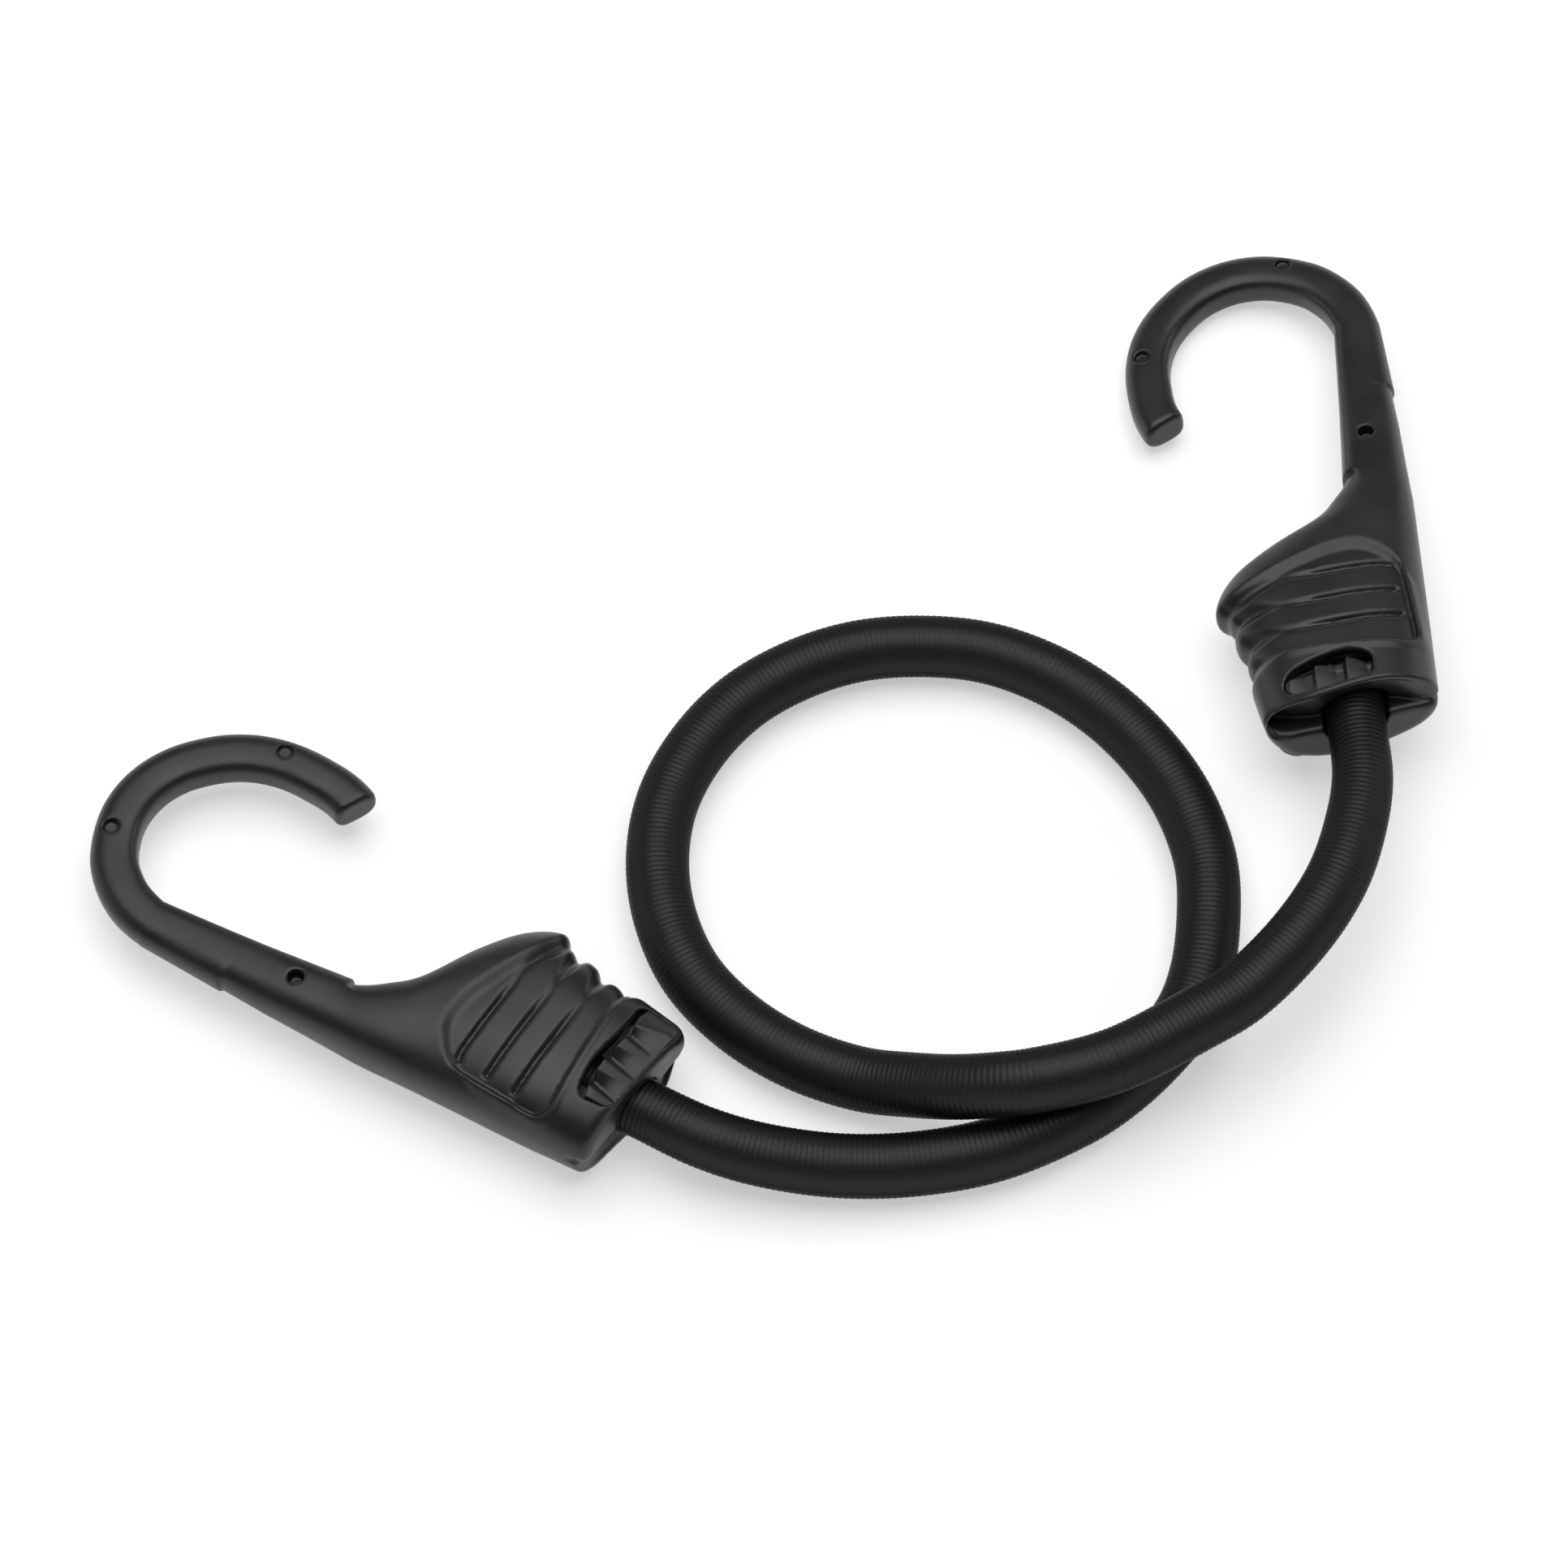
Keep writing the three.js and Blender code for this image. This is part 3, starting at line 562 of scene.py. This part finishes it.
def hook_field(along, across, through):
    """The whole moulding: grip and arm, less the plug's socket, the windows and the locator holes."""
    shape = smooth_min(grip_field(along, across, through), arm_field(along, across, through), SOFT_EDGE)
    shape = smooth_max(shape, -socket_field(along, across, through), SOFT_EDGE)
    shape = smooth_max(shape, -window_field(along, across, through), WINDOW_EDGE)
    for hole in LOCATOR_HOLES:
        pin = np.hypot(along - hole[0], across - hole[1]) - LOCATOR_RADIUS
        shape = smooth_max(shape, -np.maximum(pin, LOCATOR_FLOOR - np.abs(through)), FINE_EDGE)
    return shape


def latch_top(along, across, through):
    """Height of the latch above the hook's middle: teeth in a row across it, higher away from the base."""
    upper = through > 0
    run_start, run_end = LATCH_RUN
    run = np.clip((along - run_start) / (run_end - run_start), 0, 1)
    valley = np.where(upper, LATCH_VALLEY, LOWER_LATCH_VALLEY)
    slant = np.where(upper, 0, LOWER_LATCH_SLANT)
    drop = np.where(upper, LATCH_DROP, np.maximum(LOWER_LATCH_DROP * run, LEAST_DROP))
    flat = np.where(upper, LATCH_FLAT, LOWER_LATCH_FLAT)
    land = np.where(upper, 0, LOWER_LATCH_LAND * run)
    place = (across - valley - slant * (along - run_end)) / LATCH_PITCH
    place = place - np.floor(place)
    ramp = np.maximum(place - flat, 0) / (1 - drop - flat)
    tooth = np.minimum(ramp, (1 - place) / drop)
    tooth = np.minimum(tooth * (1 + land), 1)
    return WINDOW_FLUSH - LATCH_HEIGHT * (1 - run * tooth)


def plug_field(along, across, through):
    """The cord plug: a block in the base, with a latch in each window and a bore for the cord."""
    level = np.abs(through)
    body = smooth_max(plug_section(across, through, 0), PLUG_START - along, PLUG_EDGE)
    body = smooth_max(body, along - PLUG_END, PLUG_EDGE)
    edge = window_outline(along, across, through, LATCH_REACH) + LATCH_CLEARANCE
    above = TOOTH_STEEPNESS * (level - latch_top(along, across, through))
    pocket = smooth_max(edge - LATCH_MARGIN, -above, FINE_EDGE)
    body = smooth_max(body, -pocket, FINE_EDGE)
    tongue = smooth_max(above, edge, FINE_EDGE)
    tongue = smooth_max(tongue, grip_skin(along, across, through), FINE_EDGE)
    body = smooth_min(body, np.maximum(tongue, WINDOW_FLOOR - level), SMALL_EDGE)
    latch_end = window_top(across, through) - LATCH_GAP
    gap = smooth_max(edge - LATCH_MARGIN, latch_end - along, SMALL_EDGE)
    body = smooth_max(body, -smooth_max(gap, LATCH_FLOOR - level, SMALL_EDGE), FINE_EDGE)
    bore = np.hypot(across, through) - CORD_RADIUS - BORE_CLEARANCE
    return smooth_max(body, -bore, PLUG_EDGE)


def mesh_from_field(field, low, high, step):
    """Vertices and quads of a field's zero skin: one vertex in each grid cell that the skin crosses."""
    axes = [np.arange(a, b + step, step) for a, b in zip(low, high)]
    grid = np.stack(np.meshgrid(*axes, indexing="ij"))
    values = field(*grid)
    inside = values < 0
    corners = [(i, j, k) for i in (0, 1) for j in (0, 1) for k in (0, 1)]
    shape = [len(axis) - 1 for axis in axes]

    def corner_of(array, corner):
        return array[tuple(slice(c, c + n) for c, n in zip(corner, shape))]

    count = sum(corner_of(inside, corner).astype(int) for corner in corners)
    cells = np.argwhere((count > 0) & (count < 8))
    number = np.full(shape, -1)
    number[tuple(cells.T)] = np.arange(len(cells))
    corner_values = np.stack([values[tuple((cells + corner).T)] for corner in corners], 1)
    total = np.zeros((len(cells), 3))
    crossings = np.zeros(len(cells))
    for a, start in enumerate(corners):
        for b, end in enumerate(corners):
            if sum(end) - sum(start) != 1 or any(e < s for s, e in zip(start, end)):
                continue
            first, second = corner_values[:, a], corner_values[:, b]
            crossed = (first < 0) != (second < 0)
            share = np.where(crossed, first / np.where(crossed, first - second, 1), 0)[:, None]
            place = np.array(start) + share * (np.array(end) - np.array(start))
            total += np.where(crossed[:, None], place, 0)
            crossings += crossed
    points = np.array(low) + step * (cells + total / crossings[:, None])
    quads = []
    for axis in range(3):
        others = [(axis + 1) % 3, (axis + 2) % 3]
        ahead = np.roll(inside, -1, axis)
        edges = np.argwhere(inside != ahead)
        edges = edges[(edges[:, axis] < shape[axis])]
        for other in others:
            edges = edges[(edges[:, other] > 0) & (edges[:, other] < shape[other])]
        ring = []
        for step_one, step_two in ((0, 0), (1, 0), (1, 1), (0, 1)):
            cell = edges.copy()
            cell[:, others[0]] -= step_one
            cell[:, others[1]] -= step_two
            ring.append(number[tuple(cell.T)])
        ring = np.stack(ring, 1)
        outward = inside[tuple(edges.T)]
        quads.append(np.where(outward[:, None], ring, ring[:, ::-1]))
    return points, np.vstack(quads)


def settle_on(field, points, rounds=4, reach=0.02, longest=0.2):
    """Moves points onto a field's zero skin, in rounds that go no further than a longest move."""
    for _ in range(rounds):
        value = field(*points.T)
        slope = np.zeros_like(points)
        for axis in range(3):
            ahead = points.copy()
            behind = points.copy()
            ahead[:, axis] += reach
            behind[:, axis] -= reach
            slope[:, axis] = (field(*ahead.T) - field(*behind.T)) / (2 * reach)
        move = value / np.maximum((slope ** 2).sum(1), 0.05)
        points = points - np.clip(move, -longest, longest)[:, None] * slope
    return points


def hook_matrix(place):
    """From a hook's own axes in millimetres to the part's frame in metres."""
    turn = Matrix.Rotation(math.radians(place["heading"]), 4, "Z")
    turn = turn @ Matrix.Rotation(math.radians(place["pitch"]), 4, "Y")
    turn = turn @ Matrix.Rotation(math.radians(place["roll"]), 4, "X")
    return Matrix.Translation(Vector(place["base"]) * MM) @ turn @ Matrix.Scale(MM, 4)


def placed(points, place):
    """Points of a hook's own axes, in the part's frame."""
    matrix = np.array(hook_matrix(place))
    return points @ matrix[:3, :3].T + matrix[:3, 3]


def new_mesh(name, points, faces, material):
    """A smooth-shaded mesh object at the origin."""
    mesh = bpy.data.meshes.new(name)
    mesh.from_pydata(points.tolist(), [], faces.tolist())
    work = bmesh.new()
    work.from_mesh(mesh)
    bmesh.ops.remove_doubles(work, verts=work.verts, dist=SLIVER * MM)
    work.to_mesh(mesh)
    work.free()
    mesh.polygons.foreach_set("use_smooth", [True] * len(mesh.polygons))
    mesh.materials.append(material)
    mesh.update()
    piece = bpy.data.objects.new(name, mesh)
    bpy.context.collection.objects.link(piece)
    return piece


hook_points, hook_faces = mesh_from_field(hook_field, *HOOK_BOX, HOOK_GRID)
hook_points = settle_on(hook_field, hook_points)
plug_points, plug_faces = mesh_from_field(plug_field, *PLUG_BOX, PLUG_GRID)
plug_points = settle_on(plug_field, plug_points)

for side, place in (("left", LEFT_HOOK), ("right", RIGHT_HOOK)):
    shell = new_mesh(f"{side}_shell_moulding", placed(hook_points, place), hook_faces, HOOK_NYLON)
    plug = new_mesh(f"{side}_plug_moulding", placed(plug_points, place), plug_faces, PLUG_NYLON)
    for piece, node, finish in ((shell, "hook_shell", "nylon"), (plug, "cord_plug", "plug")):
        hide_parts(f"{side}_{node}")
        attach(piece, f"{side}_hook")


# Cord

def on_cord_axis(place, along):
    """A point on a hook's cord axis, in metres."""
    return hook_matrix(place) @ Vector((along, 0, 0))


def line_through(points, spacing, samples=60):
    """A centripetal Catmull-Rom line through points, resampled at an even spacing."""
    known = np.array(points, float)
    known = np.vstack([2 * known[0] - known[1], known, 2 * known[-1] - known[-2]])
    t = np.linspace(0, 1, samples, endpoint=False)[:, None]
    dense = []
    for a, b, c, d in zip(known, known[1:], known[2:], known[3:]):
        gaps = [math.sqrt(np.linalg.norm(q - p)) for p, q in ((a, b), (b, c), (c, d))]
        slope_b = (b - a) / gaps[0] - (c - a) / (gaps[0] + gaps[1]) + (c - b) / gaps[1]
        slope_c = (c - b) / gaps[1] - (d - b) / (gaps[1] + gaps[2]) + (d - c) / gaps[2]
        start, end = slope_b * gaps[1], slope_c * gaps[1]
        square = 3 * (c - b) - 2 * start - end
        cube = 2 * (b - c) + start + end
        dense.append(b + t * start + t ** 2 * square + t ** 3 * cube)
    dense = np.vstack(dense + [known[-2:-1]])
    lengths = np.concatenate([[0], np.cumsum(np.linalg.norm(np.diff(dense, axis=0), axis=1))])
    even = np.arange(0, lengths[-1], spacing)
    return np.stack([np.interp(even, lengths, dense[:, k]) for k in range(3)], 1)


def sheath_tree():
    """Geometry Nodes that turn a line into a woven sheath with a rib at every pitch."""
    tree = bpy.data.node_groups.new("woven sheath", "GeometryNodeTree")
    tree.interface.new_socket("Geometry", in_out="INPUT", socket_type="NodeSocketGeometry")
    lengths = ("Radius", "Rib pitch", "Rib height", "Start", "Pinch", "Pinch place", "Pinch length")
    for name in lengths:
        tree.interface.new_socket(name, in_out="INPUT", socket_type="NodeSocketFloat")
    for name, kind in (("Sides", "Int"), ("Rings", "Int"), ("Finish", "Material")):
        tree.interface.new_socket(name, in_out="INPUT", socket_type=f"NodeSocket{kind}")
    tree.interface.new_socket("Geometry", in_out="OUTPUT", socket_type="NodeSocketGeometry")
    given = add_node(tree, "NodeGroupInput").outputs

    # The line, with its distance from the cord's left end and its own place stored on it
    line = add_node(tree, "GeometryNodeMeshToCurve", {"Mesh": given["Geometry"]})
    even = add_node(tree, "GeometryNodeResampleCurve", {
        "Curve": line.outputs["Curve"], "Count": given["Rings"]}, mode="COUNT")
    upright = add_node(tree, "GeometryNodeSetCurveNormal", {"Curve": even.outputs["Curve"]}, mode="Z_UP")
    spline = add_node(tree, "GeometryNodeSplineParameter").outputs
    place = add_node(tree, "GeometryNodeInputPosition").outputs["Position"]
    distance = add_node(tree, "ShaderNodeMath", {0: spline["Length"], 1: given["Start"]}, operation="ADD")
    along = add_node(tree, "GeometryNodeStoreNamedAttribute", {
        "Geometry": upright.outputs["Curve"], "Name": "along", "Value": distance.outputs["Value"]},
        data_type="FLOAT")
    middle = add_node(tree, "GeometryNodeStoreNamedAttribute", {
        "Geometry": along.outputs["Geometry"], "Name": "middle", "Value": place}, data_type="FLOAT_VECTOR")

    # A tube round the line
    circle = add_node(tree, "GeometryNodeCurvePrimitiveCircle", {
        "Resolution": given["Sides"], "Radius": given["Radius"]}, mode="RADIUS")
    turn = add_node(tree, "GeometryNodeStoreNamedAttribute", {
        "Geometry": circle.outputs["Curve"], "Name": "around", "Value": spline["Factor"]}, data_type="FLOAT")
    tube = add_node(tree, "GeometryNodeCurveToMesh", {
        "Curve": middle.outputs["Geometry"], "Profile Curve": turn.outputs["Geometry"], "Fill Caps": True})

    # Ribs, less the pinch at a hook's mouth
    read_along = add_node(tree, "GeometryNodeInputNamedAttribute", {"Name": "along"}, data_type="FLOAT")
    read_middle = add_node(tree, "GeometryNodeInputNamedAttribute", {
        "Name": "middle"}, data_type="FLOAT_VECTOR")
    ribs = add_node(tree, "ShaderNodeMath", {
        0: read_along.outputs["Attribute"], 1: given["Rib pitch"]}, operation="DIVIDE")
    phase = add_node(tree, "ShaderNodeMath", {0: ribs.outputs["Value"], 1: 2 * math.pi}, operation="MULTIPLY")
    wave = add_node(tree, "ShaderNodeMath", {0: phase.outputs["Value"]}, operation="COSINE")
    rise = add_node(tree, "ShaderNodeMath", {
        0: wave.outputs["Value"], 1: given["Rib height"]}, operation="MULTIPLY")
    away = add_node(tree, "ShaderNodeMath", {
        0: read_along.outputs["Attribute"], 1: given["Pinch place"]}, operation="SUBTRACT")
    reach = add_node(tree, "ShaderNodeMath", {
        0: away.outputs["Value"], 1: given["Pinch length"]}, operation="DIVIDE")
    square = add_node(tree, "ShaderNodeMath", {
        0: reach.outputs["Value"], 1: reach.outputs["Value"], 2: 1.0}, operation="MULTIPLY_ADD")
    squeeze = add_node(tree, "ShaderNodeMath", {
        0: given["Pinch"], 1: square.outputs["Value"]}, operation="DIVIDE")
    height = add_node(tree, "ShaderNodeMath", {
        0: rise.outputs["Value"], 1: squeeze.outputs["Value"]}, operation="SUBTRACT")
    out = add_node(tree, "ShaderNodeVectorMath", {
        0: place, 1: read_middle.outputs["Attribute"]}, operation="SUBTRACT")
    unit = add_node(tree, "ShaderNodeVectorMath", {0: out.outputs["Vector"]}, operation="NORMALIZE")
    shift = add_node(tree, "ShaderNodeVectorMath", {
        0: unit.outputs["Vector"], "Scale": height.outputs["Value"]}, operation="SCALE")
    ribbed = add_node(tree, "GeometryNodeSetPosition", {
        "Geometry": tube.outputs["Mesh"], "Offset": shift.outputs["Vector"]})

    smooth = add_node(tree, "GeometryNodeSetShadeSmooth", {"Geometry": ribbed.outputs["Geometry"]})
    whole = add_node(tree, "GeometryNodeRealizeInstances", {"Geometry": smooth.outputs["Geometry"]})
    finished = add_node(tree, "GeometryNodeSetMaterial", {
        "Geometry": whole.outputs["Geometry"], "Material": given["Finish"]})
    add_node(tree, "NodeGroupOutput", {"Geometry": finished.outputs["Geometry"]})
    return tree


SHEATH_TREE = sheath_tree()


def unroll_sheath(mesh):
    """Gives a sheath a UV map in millimetres round and along the cord, from what its tree stored."""
    values = {key: np.zeros(len(mesh.vertices), np.float32) for key in ("along", "around")}
    for key, value in values.items():
        mesh.attributes[key].data.foreach_get("value", value)
    corners = np.zeros(len(mesh.loops), np.int32)
    mesh.loops.foreach_get("vertex_index", corners)
    starts = np.zeros(len(mesh.polygons), np.int32)
    mesh.polygons.foreach_get("loop_start", starts)
    face = np.repeat(np.arange(len(starts)), np.diff(np.append(starts, len(corners))))
    turn = values["around"][corners]
    top = np.maximum.reduceat(turn, starts)[face]
    turn = np.where(top - turn > 0.5, turn + 1, turn)
    layer = mesh.uv_layers.new(name="UVMap")
    flat = np.stack([turn * 2 * math.pi * CORD_RADIUS, values["along"][corners] / MM], 1)
    layer.uv.foreach_set("vector", flat.ravel())
    for key in ("along", "around", "middle"):
        mesh.attributes.remove(mesh.attributes[key])


def sheath_piece(name, line, start, ribs, pinch_place):
    """A stretch of the sheath as a plain mesh, which starts at a distance from the cord's left end."""
    host_mesh = bpy.data.meshes.new(name)
    host_mesh.from_pydata(line.tolist(), [(k, k + 1) for k in range(len(line) - 1)], [])
    host = bpy.data.objects.new(name, host_mesh)
    bpy.context.collection.objects.link(host)
    modifier = host.modifiers.new("sheath", "NODES")
    modifier.node_group = SHEATH_TREE
    sizes = {
        "Radius": (CORD_RADIUS - RIB_HEIGHT) * MM,
        "Rib pitch": RIB_PITCH * MM,
        "Rib height": -RIB_HEIGHT * MM,
        "Start": start,
        "Pinch": PINCH * MM if pinch_place else 0.0,
        "Pinch place": pinch_place,
        "Pinch length": PINCH_LENGTH * MM,
        "Sides": CORD_SIDES,
        "Rings": ribs * RINGS_PER_RIB + 1,
        "Finish": SHEATH,
    }
    for socket in SHEATH_TREE.interface.items_tree:
        if socket.in_out == "INPUT" and socket.name in sizes:
            modifier[socket.identifier] = sizes[socket.name]
    bpy.context.view_layer.update()
    graph = bpy.context.evaluated_depsgraph_get()
    made = host.evaluated_get(graph)
    mesh = bpy.data.meshes.new_from_object(made, preserve_all_data_layers=True, depsgraph=graph)
    host.modifiers.remove(modifier)
    host.data = mesh
    unroll_sheath(mesh)
    mesh.set_sharp_from_angle(angle=math.radians(60))
    return host


straight = [CORD_END, CORD_END / 2, 0, -2 * CORD_RADIUS]
route = [on_cord_axis(LEFT_HOOK, along) for along in straight]
route += LEFT_TAIL_ROUTE + LOOP_ROUTE + RIGHT_TAIL_ROUTE
route += [on_cord_axis(RIGHT_HOOK, along) for along in reversed(straight)]
cord_line = line_through([tuple(point) for point in route], LINE_STEP)


def rib_nearest(point):
    """The whole number of ribs from the cord's left end to the place nearest a point."""
    place = np.linalg.norm(cord_line - np.array(point), axis=1).argmin()
    return round(place / RINGS_PER_RIB)


loop_start = rib_nearest(LOOP_ROUTE[0])
loop_end = rib_nearest(RIGHT_TAIL_ROUTE[0])
last_rib = (len(cord_line) - 1) // RINGS_PER_RIB
stretches = {"left_tail": (0, loop_start), "loop": (loop_start, loop_end), "right_tail": (loop_end, last_rib)}
mouths = {"left_tail": CORD_END * MM, "loop": 0.0, "right_tail": last_rib * RIB_PITCH * MM - CORD_END * MM}
for name, (first, last) in stretches.items():
    line = cord_line[first * RINGS_PER_RIB:last * RINGS_PER_RIB + 1]
    piece = sheath_piece(f"woven_{name}", line, first * RIB_PITCH * MM, last - first, mouths[name])
    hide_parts(f"sheath_{name}", f"rubber_{name}")
    if name == "left_tail":
        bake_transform(piece)
    elif name == "right_tail":
        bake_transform(piece)
    else:
        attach(piece, "cord")


def finish_of(name):
    """The finish of a CAD node, by its name."""
    if name.endswith(("core", "ferrule")):
        return STEEL
    if name.startswith("rubber"):
        return LATEX
    return HOOK_NYLON


for name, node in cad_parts.items():
    node.data.materials.clear()
    node.data.materials.append(finish_of(name))


# Studio

def white_paper():
    """Seamless white paper: takes the shadow, and is lifted to white where the camera sees it lit."""
    material, tree = new_material("white studio paper")
    path = add_node(tree, "ShaderNodeLightPath")
    seen = add_node(tree, "ShaderNodeMath", {
        0: path.outputs["Is Camera Ray"], 1: path.outputs["Is Glossy Ray"]}, operation="MAXIMUM")
    seen = add_node(tree, "ShaderNodeMath", {
        0: seen.outputs["Value"], 1: path.outputs["Is Transmission Ray"]}, operation="MAXIMUM")
    paper = add_node(tree, "ShaderNodeBsdfDiffuse", {"Color": linear("#e7e7e7")})
    lift = add_node(tree, "ShaderNodeMath", {0: seen.outputs["Value"], 1: PAPER_LIFT}, operation="MULTIPLY")
    glow = add_node(tree, "ShaderNodeEmission", {
        "Color": linear("#ffffff"), "Strength": lift.outputs["Value"]})
    both = add_node(tree, "ShaderNodeAddShader", {0: paper.outputs["BSDF"], 1: glow.outputs["Emission"]})
    add_node(tree, "ShaderNodeOutputMaterial", {"Surface": both.outputs["Shader"]})
    return material


def softbox(name, place, width, power):
    """A square soft light that faces the object."""
    light = bpy.data.lights.new(name, "AREA")
    light.size = width
    light.energy = power
    light.color = COOL_WHITE
    lamp = bpy.data.objects.new(name, light)
    lamp.location = place
    lamp.rotation_euler = (-Vector(place)).to_track_quat("-Z", "Y").to_euler()
    bpy.context.collection.objects.link(lamp)


floor_corners = np.array([(-1, -1, 0), (1, -1, 0), (1, 1, 0), (-1, 1, 0)]) * FLOOR_HALF
floor_corners = floor_corners - np.array((0, 0, FLOOR_DROP))
floor = new_mesh("studio_floor", floor_corners, np.array([(0, 1, 2, 3)]), white_paper())

for name, box in SOFTBOXES.items():
    softbox(name, box["place"], box["width"], box["power"])

# The room: pale near the horizon, where white paper and walls are, and dim above
world = bpy.data.worlds.new("studio")
bpy.context.scene.world = world
world.use_nodes = True
world.node_tree.nodes.clear()
direction = add_node(world.node_tree, "ShaderNodeTexCoord")
height = add_node(world.node_tree, "ShaderNodeSeparateXYZ", {"Vector": direction.outputs["Generated"]})
level = add_node(world.node_tree, "ShaderNodeMapRange", {
    "Value": height.outputs["Z"], "From Min": 0.0, "From Max": ROOM_FADE,
    "To Min": ROOM_AT_HORIZON, "To Max": ROOM_ABOVE}, interpolation_type="SMOOTHSTEP")
room = add_node(world.node_tree, "ShaderNodeBackground", {
    "Color": linear("#ffffff"), "Strength": level.outputs["Result"]})
add_node(world.node_tree, "ShaderNodeOutputWorld", {"Surface": room.outputs["Background"]})

camera_data = bpy.data.cameras.new("photo_camera")
camera_data.lens = CAMERA_LENS
camera_data.sensor_width = CAMERA_FILM
camera_data.sensor_height = CAMERA_FILM
camera_data.clip_start = CAMERA_NEAR
camera = bpy.data.objects.new("photo_camera", camera_data)
back = Vector((0, -math.cos(CAMERA_ELEVATION), math.sin(CAMERA_ELEVATION)))
camera.location = CAMERA_TARGET + CAMERA_DISTANCE * back
camera.rotation_euler = (-back).to_track_quat("-Z", "Y").to_euler()
bpy.context.collection.objects.link(camera)
bpy.context.scene.camera = camera
bpy.context.scene.view_settings.view_transform = "Standard"
